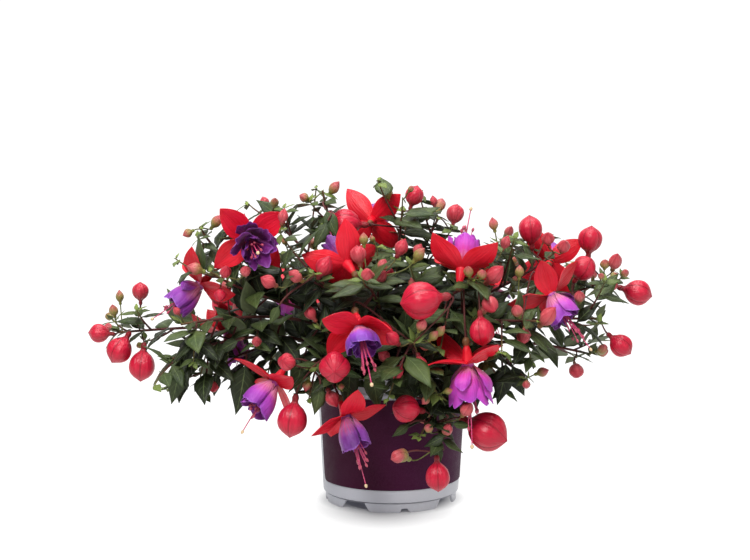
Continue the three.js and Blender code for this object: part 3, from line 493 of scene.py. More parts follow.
class Mould:
    """Gathers the skins of one piece, in millimetres, and casts them as a mesh object."""

    def __init__(self, name: str, crease: float = 55.0) -> None:
        """Starts an empty piece.

        Args:
            name: Name of the object to cast.
            crease: Angle in degrees past which an edge shows as sharp.
        """
        self.name = name
        self.crease = math.radians(crease)
        self.points: list[np.ndarray] = []
        self.faces: list[tuple[int, ...]] = []
        self.uvs: list[tuple[float, float]] = []
        self.marks: list[int] = []
        self.values: dict[str, list[np.ndarray]] = {}
        self.count = 0

    def skin(self, rings: np.ndarray, poles: tuple[bool, bool] = (True, True), u: np.ndarray | None = None,
             v: np.ndarray | None = None, finish: int = 0, **values: Values) -> None:
        """Adds a closed skin through rings of points.

        Args:
            rings: Points, ring by ring, all rings with the same count.
            poles: Whether the first and the last ring close in one point.
            u: Texture coordinate at each corner of a ring, one more than its points; even if left out.
            v: Texture coordinate of each ring; even if left out.
            finish: Index of its material slot.
            values: Attributes over the points, as a number or an array that fits the rings.
        """
        rows, sides = rings.shape[:2]
        u = np.linspace(0, 1, sides + 1) if u is None else u
        v = np.linspace(0, 1, rows) if v is None else v
        index = np.empty((rows, sides), dtype=int)
        start, kept = self.count, []
        for i in range(rows):
            pole = poles[0] if i == 0 else poles[1] if i == rows - 1 else False
            place = np.mean(rings[i], axis=0, keepdims=True) if pole else rings[i]
            index[i] = self.count if pole else np.arange(self.count, self.count + sides)
            self.count += len(place)
            self.points.append(place)
            kept.append(1 if pole else sides)
        for name, value in values.items():
            whole = np.broadcast_to(np.asarray(value, dtype=float), (rows, sides))
            known = self.values.setdefault(name, [])
            known.append(np.zeros(start - sum(len(part) for part in known)))
            known.extend(whole[i, :kept[i]] for i in range(rows))
        for i in range(rows - 1):
            for j in range(sides):
                k = (j + 1) % sides
                corners = [(index[i, j], u[j], v[i]), (index[i, k], u[j + 1], v[i]),
                           (index[i + 1, k], u[j + 1], v[i + 1]), (index[i + 1, j], u[j], v[i + 1])]
                if index[i, j] == index[i, k]:
                    corners.pop(1)
                elif index[i + 1, j] == index[i + 1, k]:
                    corners.pop(2)
                self._face(corners, finish)
        for i, pole in ((0, poles[0]), (rows - 1, poles[1])):
            if not pole:
                self._face([(index[i, j], u[j], v[i]) for j in range(sides)][::1 if i else -1], finish)

    def _face(self, corners: Sequence[tuple[int, float, float]], finish: int) -> None:
        """Adds one face, whose corners are a point and its texture coordinates.

        Args:
            corners: The corners, in order round the face.
            finish: Index of its material slot.
        """
        self.faces.append(tuple(int(corner[0]) for corner in corners))
        self.uvs.extend((corner[1], corner[2]) for corner in corners)
        self.marks.append(finish)

    def tube(self, path: np.ndarray, radii: Sequence[float], sides: int, finish: int = 0,
             lobes: Callable[[np.ndarray], np.ndarray] = np.ones_like, **values: Values) -> None:
        """Adds a tube through points, its rings turned with the path; a radius of nothing closes an end.

        Args:
            path: The points of its middle line.
            radii: Radius at each point.
            sides: Points round each ring.
            finish: Index of its material slot.
            lobes: Radius over angle, as a share of the round one.
            values: Attributes, as for a skin.
        """
        path = np.asarray(path, dtype=float)
        radii = np.asarray(radii, dtype=float)
        tangents = unit(np.gradient(path, axis=0))
        side = np.array(across(Vector(tangents[0]))[0])
        angles = circle(sides)
        shape = lobes(angles)
        rings = []
        for i, tangent in enumerate(tangents):
            side = unit(side - tangent * side.dot(tangent))
            other = np.cross(tangent, side)
            spoke = np.cos(angles)[:, None] * side + np.sin(angles)[:, None] * other
            rings.append(path[i] + spoke * (shape * radii[i])[:, None])
        lengths = np.concatenate([[0.0], np.cumsum(np.linalg.norm(np.diff(path, axis=0), axis=1))])
        self.skin(np.array(rings), (radii[0] == 0, radii[-1] == 0), v=lengths / lengths[-1], finish=finish, **values)

    def blade(self, grid: np.ndarray, thickness: Values, pointed: bool = True,
              **values: Values) -> None:
        """Adds a thin sheet as a closed shell round its middle surface.

        Args:
            grid: Points of the middle surface, row by row from its foot to its tip.
            thickness: Thickness over the grid.
            pointed: Whether the last row closes in one point.
            values: Attributes over the grid, as for a skin.
        """
        rows, columns = grid.shape[:2]
        normal = unit(np.cross(np.gradient(grid, axis=1), np.gradient(grid, axis=0)))
        if pointed:
            normal[-1] = normal[-2]
        half = np.broadcast_to(np.asarray(thickness, dtype=float), (rows, columns))[..., None] * normal / 2
        rings = np.concatenate([grid + half, (grid - half)[:, ::-1]], axis=1)
        u = np.linspace(0, 1, columns)
        doubled = {}
        for name, value in values.items():
            spread = np.broadcast_to(np.asarray(value, dtype=float), (rows, columns))
            doubled[name] = np.concatenate([spread, spread[:, ::-1]], axis=1)
        under = np.repeat([0.0, 1.0], columns)
        self.skin(rings, (False, pointed), np.concatenate([u, u[::-1], u[:1]]), under=under, **doubled)

    def mesh(self) -> bpy.types.Mesh:
        """The skins as one mesh in metres, its faces outwards, with its texture coordinates and attributes.

        Returns:
            The mesh.
        """
        mesh = bpy.data.meshes.new(self.name)
        points = np.concatenate(self.points) * MM
        mesh.from_pydata(points.tolist(), [], self.faces)
        mesh.uv_layers.new(name="UVMap").data.foreach_set("uv", np.array(self.uvs, dtype=np.float32).ravel())
        mesh.polygons.foreach_set("material_index", self.marks)
        for name, parts in self.values.items():
            whole = np.concatenate(parts)
            give(mesh, **{name: np.concatenate([whole, np.zeros(self.count - len(whole))])})
        work = bmesh.new()
        work.from_mesh(mesh)
        bmesh.ops.recalc_face_normals(work, faces=work.faces)
        work.to_mesh(mesh)
        work.free()
        return mesh

    def cast(self, *finishes: bpy.types.Material) -> bpy.types.Object:
        """The piece as an object with its materials, smooth up to its crease angle.

        Args:
            finishes: Its materials, in the order of their index.

        Returns:
            The object.
        """
        mesh = self.mesh()
        for finish in finishes:
            mesh.materials.append(finish)
        mesh.shade_smooth()
        mesh.set_sharp_from_angle(angle=self.crease)
        return shown(self.name, mesh)

    def form(self, group: bpy.types.Collection, smooth: bool = True) -> None:
        """Adds the piece to the forms of a scatter, where one unit of the mould is a whole metre.

        Args:
            group: Collection of the forms.
            smooth: Whether its faces are shaded smooth.
        """
        form = bpy.data.objects.new(self.name, self.mesh())
        form.data.transform(Matrix.Scale(1 / MM, 4))
        if smooth:
            form.data.shade_smooth()
        group.objects.link(form)


# Node trees

class Tree:
    """Places and joins the nodes of one tree."""

    def __init__(self, nodes: bpy.types.NodeTree) -> None:
        """Works on the nodes of a tree."""
        self.tree = nodes

    def node(self, kind: str, inputs: dict[str | int, object] | None = None, **settings: object) -> bpy.types.Node:
        """Adds a node.

        Args:
            kind: Its type.
            inputs: Value or output for each named or numbered input.
            settings: Properties of the node.

        Returns:
            The node.
        """
        made = self.tree.nodes.new(kind)
        for name, value in settings.items():
            setattr(made, name, value)
        for name, value in (inputs or {}).items():
            self.join(value, made.inputs[name])
        return made

    def join(self, value: object, socket: Socket) -> None:
        """Links an output to a socket, or writes a plain value there.

        Args:
            value: A socket or a plain value.
            socket: Input that takes it.
        """
        if isinstance(value, Socket):
            self.tree.links.new(value, socket)
        else:
            socket.default_value = value

    def socket(self, name: str, kind: str, output: bool = False, value: object = None) -> str:
        """Adds an input or output to the tree itself, and returns its identifier.

        Args:
            name: Name of the socket.
            kind: Socket type.
            output: Whether it is an output.
            value: First value of an input.

        Returns:
            Its identifier.
        """
        made = self.tree.interface.new_socket(name, in_out="OUTPUT" if output else "INPUT", socket_type=kind)
        if value is not None:
            made.default_value = value
        return made.identifier

    def sum_of(self, operation: str, first: object, second: object = 0.0, clamp: bool = False) -> Socket:
        """The result of one sum."""
        return self.node("ShaderNodeMath", {0: first, 1: second}, operation=operation, use_clamp=clamp).outputs[0]

    def span(self, value: object, start: object = 0.0, end: object = 1.0, low: object = 0.0, high: object = 1.0,
             soft: bool = False) -> Socket:
        """A value brought from the range start to end into the range low to high, and kept within it.

        Args:
            value: The value.
            start: Value that gives low.
            end: Value that gives high.
            low: Result at start.
            high: Result at end.
            soft: Whether the way between them is eased.

        Returns:
            The result.
        """
        return self.node("ShaderNodeMapRange", {"Value": value, "From Min": start, "From Max": end, "To Min": low,
                                                "To Max": high},
                         interpolation_type="SMOOTHSTEP" if soft else "LINEAR").outputs[0]

    def apart(self, vector: Socket) -> list[Socket]:
        """The three parts of a vector."""
        return list(self.node("ShaderNodeSeparateXYZ", {0: vector}).outputs)


class GrowthTree(Tree):
    """A Geometry Nodes tree with named inputs, that turns a mesh of points or lines into a finished one."""

    def __init__(self, name: str, inputs: dict[str, tuple[str, object]]) -> None:
        """Makes the tree and its inputs.

        Args:
            name: Name of the tree.
            inputs: Socket type and first value of each named input.
        """
        super().__init__(bpy.data.node_groups.new(name, "GeometryNodeTree"))
        self.socket("Geometry", "NodeSocketGeometry")
        self.keys = {key: self.socket(key, kind, value=value) for key, (kind, value) in inputs.items()}
        self.socket("Geometry", "NodeSocketGeometry", output=True)
        self.given = self.node("NodeGroupInput").outputs

    def named(self, name: str, kind: str = "FLOAT") -> Socket:
        """The output that reads a named attribute of the points."""
        node = self.node("GeometryNodeInputNamedAttribute", {"Name": name}, data_type=kind)
        return next(socket for socket in node.outputs if socket.enabled)

    def close(self, shape: Socket) -> None:
        """Ends the tree in Realize Instances and Set Material.

        Args:
            shape: The shape that the tree has made.
        """
        real = self.node("GeometryNodeRealizeInstances", {"Geometry": shape})
        dressed = self.node("GeometryNodeSetMaterial",
                            {"Geometry": real.outputs[0], "Material": self.given["Material"]})
        self.node("NodeGroupOutput", {"Geometry": dressed.outputs[0]})

    def grow(self, seed: bpy.types.Object, **values: object) -> bpy.types.Object:
        """Runs the tree on an object and keeps its result as a plain mesh.

        Args:
            seed: Object with the points or lines.
            values: Value of each named input, with spaces written as underscores.

        Returns:
            The same object, with its new mesh and without the modifier.
        """
        growth = seed.modifiers.new("growth", "NODES")
        growth.node_group = self.tree
        for name, value in values.items():
            growth[self.keys[name.replace("_", " ")]] = value
        return made_plain(seed, growth)


def scatter_tree() -> GrowthTree:
    """The tree that sets one of a few moulded forms on each point, turned and sized by attributes.

    Returns:
        The tree.
    """
    tree = GrowthTree("Scatter forms", {
        "Forms": ("NodeSocketCollection", None), "Scale": ("NodeSocketFloat", 1.0),
        "Material": ("NodeSocketMaterial", None),
    })
    forms = tree.node("GeometryNodeCollectionInfo", {"Collection": tree.given["Forms"], "Separate Children": True,
                                                    "Reset Children": True})
    placed = tree.node("GeometryNodeInstanceOnPoints", {
        "Points": tree.given["Geometry"], "Instance": forms.outputs[0], "Pick Instance": True,
        "Instance Index": tree.named("kind", "INT"), "Rotation": tree.named("turn", "FLOAT_VECTOR"),
        "Scale": tree.sum_of("MULTIPLY", tree.named("size"), tree.given["Scale"]),
    })
    tree.close(placed.outputs[0])
    return tree


def shoot_tree() -> GrowthTree:
    """The tree that gives lines their girth, as round wood with closed ends.

    Returns:
        The tree.
    """
    tree = GrowthTree("Wood on lines", {
        "Girth": ("NodeSocketFloat", 1.0), "Sides": ("NodeSocketInt", 8), "Material": ("NodeSocketMaterial", None),
    })
    line = tree.node("GeometryNodeMeshToCurve", {"Mesh": tree.given["Geometry"]})
    ring = tree.node("GeometryNodeCurvePrimitiveCircle", {"Resolution": tree.given["Sides"], "Radius": 1.0})
    girth = tree.sum_of("MULTIPLY", tree.named("girth"), tree.given["Girth"])
    wood = tree.node("GeometryNodeCurveToMesh", {"Curve": line.outputs[0], "Profile Curve": ring.outputs[0],
                                                "Scale": girth, "Fill Caps": True})
    smooth = tree.node("GeometryNodeSetShadeSmooth", {"Geometry": wood.outputs[0], "Shade Smooth": True})
    tree.close(smooth.outputs[0])
    return tree


def seeds(name: str, places: Sequence[Vector], **values: object) -> bpy.types.Object:
    """An object of loose points with attributes, for a scatter.

    Args:
        name: Name of the object.
        places: The points, in millimetres.
        values: Attribute values, one a point.

    Returns:
        The object.
    """
    mesh = bpy.data.meshes.new(name)
    mesh.from_pydata([place * MM for place in places], [], [])
    return shown(name, give(mesh, **values))


def lines(name: str, woods: Sequence[Wood]) -> bpy.types.Object:
    """An object of open lines with a girth and a tone at each point.

    Args:
        name: Name of the object.
        woods: Points, radii and tones of each line, in millimetres.

    Returns:
        The object.
    """
    points, edges, girths, tones = [], [], [], []
    for path, radii, tone in woods:
        start = len(points)
        points.extend(point * MM for point in path)
        edges.extend((i, i + 1) for i in range(start, len(points) - 1))
        girths.extend(radius * MM for radius in radii)
        tones.extend(tone)
    mesh = bpy.data.meshes.new(name)
    mesh.from_pydata(points, edges, [])
    return shown(name, give(mesh, girth=girths, tone=tones))


# Finishes

class EffectTree(Tree):
    """A shader group with a vector and named numbers as inputs."""

    def __init__(self, name: str, inputs: dict[str, float], outputs: Sequence[str]) -> None:
        """Makes the group with its sockets.

        Args:
            name: Name of the group.
            inputs: First value of each number.
            outputs: Name of each value that it puts out.
        """
        super().__init__(bpy.data.node_groups.new(name, "ShaderNodeTree"))
        self.socket("Vector", "NodeSocketVector")
        for key, value in inputs.items():
            self.socket(key, "NodeSocketFloat", value=value)
        for key in outputs:
            self.socket(key, "NodeSocketFloat", output=True)
        self.given = self.node("NodeGroupInput").outputs


def mottle_group() -> bpy.types.NodeTree:
    """Soft uneven patches over a surface, as a value from Low to High.

    Returns:
        The group.
    """
    tree = EffectTree("Mottle", {"Scale": 40.0, "Detail": 3.0, "Low": 0.0, "High": 1.0}, ["Value"])
    noise = tree.node("ShaderNodeTexNoise", {key: tree.given[key] for key in ("Vector", "Scale", "Detail")})
    value = tree.span(noise.outputs[0], 0.3, 0.7, tree.given["Low"], tree.given["High"])
    tree.node("NodeGroupOutput", {"Value": value})
    return tree.tree


def streak_group() -> bpy.types.NodeTree:
    """Fine lengthwise streaks over a surface's own coordinates, as a mask.

    Returns:
        The group.
    """
    tree = EffectTree("Streaks", {"Count": 14.0, "Waver": 1.5, "Contrast": 0.12}, ["Mask"])
    stretch = tree.node("ShaderNodeCombineXYZ", {"X": tree.given["Count"], "Y": tree.given["Waver"], "Z": 1.0})
    place = tree.node("ShaderNodeVectorMath", {0: tree.given["Vector"], 1: stretch.outputs[0]}, operation="MULTIPLY")
    noise = tree.node("ShaderNodeTexNoise", {"Vector": place.outputs[0], "Scale": 1.0, "Detail": 2.0})
    low, high = (tree.sum_of(way, 0.5, tree.given["Contrast"]) for way in ("SUBTRACT", "ADD"))
    tree.node("NodeGroupOutput", {"Mask": tree.span(noise.outputs[0], low, high, soft=True)})
    return tree.tree


def vein_group() -> bpy.types.NodeTree:
    """A midrib and slanting side veins on a blade's own coordinates, as two masks.

    Returns:
        The group.
    """
    tree = EffectTree("Veins", {"Pairs": 8.0, "Slant": 1.7, "Width": 0.16, "Midrib": 0.07}, ["Rib", "Side"])
    given, sum_of = tree.given, tree.sum_of
    over, along, _ = tree.apart(given["Vector"])
    off = sum_of("MULTIPLY", sum_of("ABSOLUTE", sum_of("SUBTRACT", over, 0.5)), 2.0)
    rib = tree.span(off, given["Midrib"], 0.0, soft=True)
    phase = sum_of("SUBTRACT", sum_of("MULTIPLY", along, given["Pairs"]), sum_of("MULTIPLY", off, given["Slant"]))
    near = sum_of("ABSOLUTE", sum_of("SUBTRACT", sum_of("FRACT", phase), 0.5))
    side = tree.span(near, given["Width"], 0.0, soft=True)
    tree.node("NodeGroupOutput", {"Rib": rib, "Side": sum_of("MULTIPLY", side, sum_of("SUBTRACT", 1.0, off))})
    return tree.tree


class Effects:
    """The shader groups that several finishes share, each built once."""

    def __init__(self) -> None:
        """Builds the groups."""
        self.mottle = mottle_group()
        self.streaks = streak_group()
        self.veins = vein_group()


class Shader(Tree):
    """The nodes of one material round its Principled BSDF."""

    def __init__(self, name: str, effects: Effects) -> None:
        """Starts a material that may use the shared effects.

        Args:
            name: Name of the material.
            effects: The shared shader groups.
        """
        self.material = bpy.data.materials.new(name)
        self.material.use_nodes = True
        super().__init__(self.material.node_tree)
        self.effects = effects
        self.bsdf = self.tree.nodes["Principled BSDF"]
        place = self.node("ShaderNodeTexCoord")
        self.solid = place.outputs["Object"]
        self.own = place.outputs["UV"]

    def attribute(self, name: str) -> Socket:
        """The value of an attribute of the mesh."""
        return self.node("ShaderNodeAttribute", attribute_name=name).outputs["Fac"]

    def sum_of(self, operation: str, first: object, second: object = 0.0, clamp: bool = True) -> Socket:
        """The result of one sum, kept from 0 to 1 unless asked otherwise."""
        return super().sum_of(operation, first, second, clamp)

    def times(self, first: object, second: object) -> Socket:
        """One value times another, kept from 0 to 1."""
        return self.sum_of("MULTIPLY", first, second)

    def mottle(self, scale: float, low: float = 0.0, high: float = 1.0, detail: float = 3.0) -> Socket:
        """Uneven patches on the object's coordinates, from low to high."""
        return self.node("ShaderNodeGroup", {"Vector": self.solid, "Scale": scale, "Detail": detail, "Low": low,
                                             "High": high}, node_tree=self.effects.mottle).outputs["Value"]

    def streaks(self, count: float, waver: float, contrast: float) -> Socket:
        """Lengthwise streaks on the piece's own coordinates."""
        return self.node("ShaderNodeGroup", {"Vector": self.own, "Count": count, "Waver": waver,
                                             "Contrast": contrast}, node_tree=self.effects.streaks).outputs["Mask"]

    def veins(self, pairs: float, slant: float, width: float, midrib: float) -> list[Socket]:
        """Midrib and side veins on the piece's own coordinates."""
        return list(self.node("ShaderNodeGroup", {"Vector": self.own, "Pairs": pairs, "Slant": slant, "Width": width,
                                                  "Midrib": midrib}, node_tree=self.effects.veins).outputs)

    def ramp(self, value: Socket, *stops: tuple[float, Colour]) -> Socket:
        """Colours over a value, from their places and tints.

        Args:
            value: Value that picks the colour.
            stops: Place and tint of each stop.

        Returns:
            The colour.
        """
        made = self.node("ShaderNodeValToRGB", {"Fac": value})
        elements = made.color_ramp.elements
        while len(elements) < len(stops):
            elements.new(0.5)
        for element, (place, colour) in zip(elements, stops):
            element.position = place
            element.color = colour
        return made.outputs["Color"]

    def patches(self, scale: float, first: Colour, second: Colour, detail: float = 3.0) -> Socket:
        """Uneven patches of two colours."""
        return self.ramp(self.mottle(scale, detail=detail), (0.0, first), (1.0, second))

    def mix(self, share: object, first: object, second: object) -> Socket:
        """Two colours mixed by a share."""
        return self.node("ShaderNodeMix", {0: share, 6: first, 7: second}, data_type="RGBA").outputs[2]

    def coats(self, base: object, *coats: tuple[Socket, float, object]) -> Socket:
        """Colours laid one by one over a first one.

        Args:
            base: The first colour.
            coats: Mask, strength and colour of each coat.

        Returns:
            The colour.
        """
        for mask, strength, colour in coats:
            base = self.mix(mask if strength == 1.0 else self.times(mask, strength), base, colour)
        return base

    def dress(self, colour: Socket, roughness: Socket, height: Socket,
              bump: float, **constants: float) -> bpy.types.Material:
        """Joins the maps to the shader.

        Args:
            colour: Base colour.
            roughness: Roughness.
            height: Height of the fine relief.
            bump: Depth of the relief in metres.
            constants: Fixed values of other sockets, with spaces written as underscores.

        Returns:
            The material.
        """
        relief = self.node("ShaderNodeBump", {"Height": height, "Strength": 0.8, "Distance": bump})
        values = {"Base Color": colour, "Roughness": roughness, "Normal": relief.outputs[0], **constants}
        for name, value in values.items():
            self.join(value, self.bsdf.inputs[name.replace("_", " ")])
        return self.material


def tint(red: float, green: float, blue: float) -> Colour:
    """A colour from its linear parts."""
    return red, green, blue, 1.0


@dataclass(frozen=True)
class LeafFinish:
    """Dark matt leaf with a paler midrib, greyer below, light green where it is young, with painted shade deep in the
    crown.
    """

    mature: Colour = tint(0.072, 0.098, 0.027)
    deep: Colour = tint(0.028, 0.048, 0.014)
    young: Colour = tint(0.28, 0.37, 0.07)
    shaded: Colour = tint(0.006, 0.009, 0.003)
    below: Colour = tint(0.12, 0.145, 0.072)
    rib: Colour = tint(0.14, 0.19, 0.07)

    def material(self, effects: Effects) -> bpy.types.Material:
        """The finish as a material.

        Args:
            effects: The shared shader groups.

        Returns:
            The material.
        """
        s = Shader("leaf", effects)
        tone, under = s.attribute("tone"), s.attribute("under")
        rib, side = s.veins(8.0, 1.7, 0.16, 0.075)
        # A tone under 0 mixes in the shaded colour, painted shade for leaves deep in the crown
        base = s.coats(s.patches(60.0, self.deep, self.mature), (tone, 1.0, self.young), (tone, -1.0, self.shaded),
                       (under, 0.8, self.below), (side, 0.22, self.rib), (rib, 0.6, self.rib))
        height = s.sum_of("SUBTRACT", s.mottle(900.0, 0.3, 0.6), s.sum_of("MAXIMUM", side, rib))
        return s.dress(base, s.mottle(220.0, 0.42, 0.6), height, 0.0004, Specular_IOR_Level=0.26)


@dataclass(frozen=True)
class WoodFinish:
    """Dark red-brown shoot, redder and greener towards its tip."""

    old: Colour = tint(0.038, 0.016, 0.011)
    red: Colour = tint(0.11, 0.018, 0.018)
    green: Colour = tint(0.13, 0.16, 0.035)

    def material(self, effects: Effects) -> bpy.types.Material:
        """The finish as a material.

        Args:
            effects: The shared shader groups.

        Returns:
            The material.
        """
        s = Shader("shoot wood", effects)
        base = s.ramp(s.attribute("tone"), (0.0, self.old), (0.6, self.red), (1.0, self.green))
        base = s.mix(s.mottle(380.0, 0.0, 0.5), base, self.old)
        return s.dress(base, s.mottle(300.0, 0.5, 0.7), s.mottle(1500.0), 0.00025, Specular_IOR_Level=0.3)


@dataclass(frozen=True)
class BudFinish:
    """Closed bud, yellow-green to dusky pink to crimson, with darker seams between its sepals and a darker neck."""

    green: Colour = tint(0.20, 0.24, 0.05)
    dusky: Colour = tint(0.51, 0.105, 0.112)
    ripe: Colour = tint(0.50, 0.008, 0.034)
    seam: Colour = tint(0.19, 0.002, 0.010)
    neck: Colour = tint(0.15, 0.010, 0.010)
    sepals: float = 4.0

    def material(self, effects: Effects) -> bpy.types.Material:
        """The finish as a material.

        Args:
            effects: The shared shader groups.

        Returns:
            The material.
        """
        s = Shader("bud skin", effects)
        tone = s.attribute("tone")
        over, up, _ = s.apart(s.own)
        tip_ward = s.sum_of("MULTIPLY", s.span(up, 0.2, 1.0, -0.42, 0.3), s.span(tone, low=1.15, high=0.15),
                            clamp=False)
        streaks = s.streaks(26.0, 2.0, 0.2)
        ripeness = s.sum_of("ADD", s.sum_of("ADD", tone, tip_ward), s.times(streaks, 0.1))
        base = s.ramp(ripeness, (0.0, self.green), (0.42, self.dusky), (0.9, self.ripe))
        quarter = s.sum_of("FRACT", s.sum_of("MULTIPLY", over, self.sepals, clamp=False))
        near = s.sum_of("ABSOLUTE", s.sum_of("SUBTRACT", quarter, 0.5, clamp=False))
        seam, neck = s.span(near, 0.06, 0.0), s.span(up, 0.24, 0.15)
        base = s.coats(base, (streaks, 0.28, self.seam), (s.times(seam, s.times(tone, 0.8)), 1.0, self.seam),
                       (neck, 0.75, s.ramp(tone, (0.3, self.green), (0.7, self.neck))))
        height = s.sum_of("SUBTRACT", s.streaks(40.0, 6.0, 0.3), seam)
        return s.dress(base, s.mottle(260.0, 0.33, 0.45), height, 0.0004, Specular_IOR_Level=0.32, Coat_Weight=0.06,
                       Coat_Roughness=0.3)


@dataclass(frozen=True)
class SepalFinish:
    """Thick glossy red sepal with faint lengthwise veins, green at the ovary."""

    red: Colour = tint(0.66, 0.003, 0.015)
    dark: Colour = tint(0.34, 0.0014, 0.009)
    light: Colour = tint(0.74, 0.014, 0.036)
    ovary: Colour = tint(0.10, 0.07, 0.025)

    def material(self, effects: Effects) -> bpy.types.Material:
        """The finish as a material.

        Args:
            effects: The shared shader groups.

        Returns:
            The material.
        """
        s = Shader("sepal skin", effects)
        streaks = s.streaks(16.0, 1.2, 0.25)
        base = s.coats(s.patches(70.0, self.red, self.light), (streaks, 0.35, self.dark),
                       (s.attribute("tone"), 1.0, self.ovary))
        return s.dress(base, s.mottle(200.0, 0.34, 0.46), streaks, 0.0003, Specular_IOR_Level=0.26, Coat_Weight=0.06,
                       Coat_Roughness=0.3)


@dataclass(frozen=True)
class PetalFinish:
    """Petal pale and veined with red at its foot, blue violet when fresh and magenta purple when old, darkened by its
    bloom's depth, partly its own colour and partly painted shade.
    """

    foot: Colour = tint(0.70, 0.30, 0.42)
    vein: Colour = tint(0.50, 0.010, 0.10)
    fresh_mid: Colour = tint(0.21, 0.038, 0.42)
    fresh: Colour = tint(0.062, 0.014, 0.25)
    old_mid: Colour = tint(0.58, 0.040, 0.38)
    old: Colour = tint(0.37, 0.025, 0.36)
    dark_hue_and_painted_shade: Colour = tint(0.060, 0.005, 0.085)
    hem: Colour = tint(0.40, 0.14, 0.60)
    inside: Colour = tint(0.11, 0.004, 0.10)

    def material(self, effects: Effects) -> bpy.types.Material:
        """The finish as a material.

        Args:
            effects: The shared shader groups.

        Returns:
            The material.
        """
        s = Shader("petal skin", effects)
        up = s.apart(s.own)[1]
        along = s.sum_of("ADD", up, s.mottle(90.0, -0.1, 0.1))
        fresh = s.ramp(along, (0.0, self.foot), (0.28, self.foot), (0.56, self.fresh_mid), (0.92, self.fresh))
        old = s.ramp(along, (0.0, self.foot), (0.14, self.foot), (0.42, self.old_mid), (0.95, self.old))
        streaks = s.streaks(16.0, 0.7, 0.1)
        base = s.coats(fresh, (s.sum_of("ADD", s.attribute("age"), s.attribute("shade")), 1.0, old),
                       # deep darkens the petals: partly their own deeper colour, partly painted shade
                       (s.attribute("deep"), 1.0, self.dark_hue_and_painted_shade),
                       (s.times(streaks, s.span(up, 0.62, 0.2)), 0.75, self.vein),
                       (s.mottle(260.0), 0.16, self.hem), (s.attribute("under"), 0.6, self.inside),
                       (s.span(up, 0.95, 1.0), 0.45, self.hem))
        rib, side = s.veins(5.0, 3.0, 0.2, 0.12)
        height = s.sum_of("SUBTRACT", s.times(streaks, 0.5), s.times(s.sum_of("MAXIMUM", rib, side), 0.4))
        return s.dress(base, s.mottle(200.0, 0.42, 0.55), height, 0.0004, Specular_IOR_Level=0.35, Sheen_Weight=0.1,
                       Sheen_Roughness=0.4)


@dataclass(frozen=True)
class ThreadFinish:
    """Magenta filaments, dusky anthers and a cream stigma."""

    thread: Colour = tint(0.55, 0.010, 0.14)
    anther: Colour = tint(0.42, 0.020, 0.09)
    stigma: Colour = tint(0.72, 0.52, 0.30)
    pollen: Colour = tint(0.432, 0.312, 0.18)

    def material(self, effects: Effects) -> bpy.types.Material:
        """The finish as a material.

        Args:
            effects: The shared shader groups.

        Returns:
            The material.
        """
        s = Shader("stamen skin", effects)
        base = s.ramp(s.attribute("tone"), (0.0, self.thread), (0.3, self.thread), (0.5, self.anther),
                      (0.7, self.anther), (1.0, self.stigma))
        base = s.mix(s.mottle(900.0, 0.0, 0.25), base, self.pollen)
        return s.dress(base, s.mottle(500.0, 0.35, 0.55), s.mottle(2500.0), 0.00025)


@dataclass(frozen=True)
class PotFinish:
    """Satin white-grey plastic, faintly rippled from moulding, with faint dust, and darker at the foot, partly with
    dust and partly with painted shade.
    """

    white: Colour = tint(0.50, 0.505, 0.545)
    cool: Colour = tint(0.42, 0.43, 0.485)
    dust_and_shade: Colour = tint(0.30, 0.285, 0.27)

    def material(self, effects: Effects) -> bpy.types.Material:
        """The finish as a material.

        Args:
            effects: The shared shader groups.

        Returns:
            The material.
        """
        s = Shader("pot plastic", effects)
        # Darker in the lowest 11 mm, mottled: partly dust, partly painted shade at the foot and its groove
        foot = s.times(s.span(s.apart(s.solid)[2], 0.011, 0.0), s.mottle(420.0, 0.0, 0.55, detail=6.0))
        base = s.coats(s.patches(14.0, self.cool, self.white), (foot, 0.35, self.dust_and_shade),
                       (s.mottle(90.0, 0.0, 0.5, detail=8.0), 0.06, self.dust_and_shade))
        ripple = s.sum_of("ADD", s.mottle(45.0, 0.0, 0.5), s.mottle(1600.0, 0.0, 0.12))
        return s.dress(base, s.mottle(160.0, 0.3, 0.46), ripple, 0.0006)


@dataclass(frozen=True)
class LabelFinish:
    """Plain plum print on smooth card, with painted light that makes it lighter violet to the right, and faint fibres
    and rubs.
    """

    plum: Colour = tint(0.034, 0.0016, 0.014)
    violet: Colour = tint(0.058, 0.006, 0.045)
    rub: Colour = tint(0.20, 0.09, 0.18)

    def material(self, effects: Effects) -> bpy.types.Material:
        """The finish as a material.

        Args:
            effects: The shared shader groups.

        Returns:
            The material.
        """
        s = Shader("label card", effects)
        # Lighter violet towards the right, along X, is painted light; the soft violet patches are uneven print
        base = s.coats(self.plum, (s.span(s.apart(s.solid)[0], -0.02, 0.06), 0.5, self.violet),
                       (s.mottle(30.0, 0.0, 0.18), 1.0, self.violet),
                       (s.mottle(900.0, 0.0, 0.05, detail=6.0), 1.0, self.rub))
        fibre = s.sum_of("ADD", s.mottle(1900.0, 0.0, 0.25), s.mottle(26.0, 0.0, 0.6))
        return s.dress(base, s.mottle(120.0, 0.45, 0.58), fibre, 0.0005, Specular_IOR_Level=0.08)


@dataclass(frozen=True)
class PeatFinish:
    """Damp dark peat with paler fibres."""

    dark: Colour = tint(0.016, 0.010, 0.007)
    brown: Colour = tint(0.060, 0.034, 0.020)
    fibre: Colour = tint(0.16, 0.10, 0.06)

    def material(self, effects: Effects) -> bpy.types.Material:
        """The finish as a material.

        Args:
            effects: The shared shader groups.

        Returns:
            The material.
        """
        s = Shader("peat", effects)
        base = s.coats(s.patches(180.0, self.dark, self.brown, 8.0), (s.mottle(700.0, -0.8, 1.0), 0.5, self.fibre))
        return s.dress(base, s.mottle(90.0, 0.7, 0.95), s.mottle(600.0, detail=8.0), 0.002)


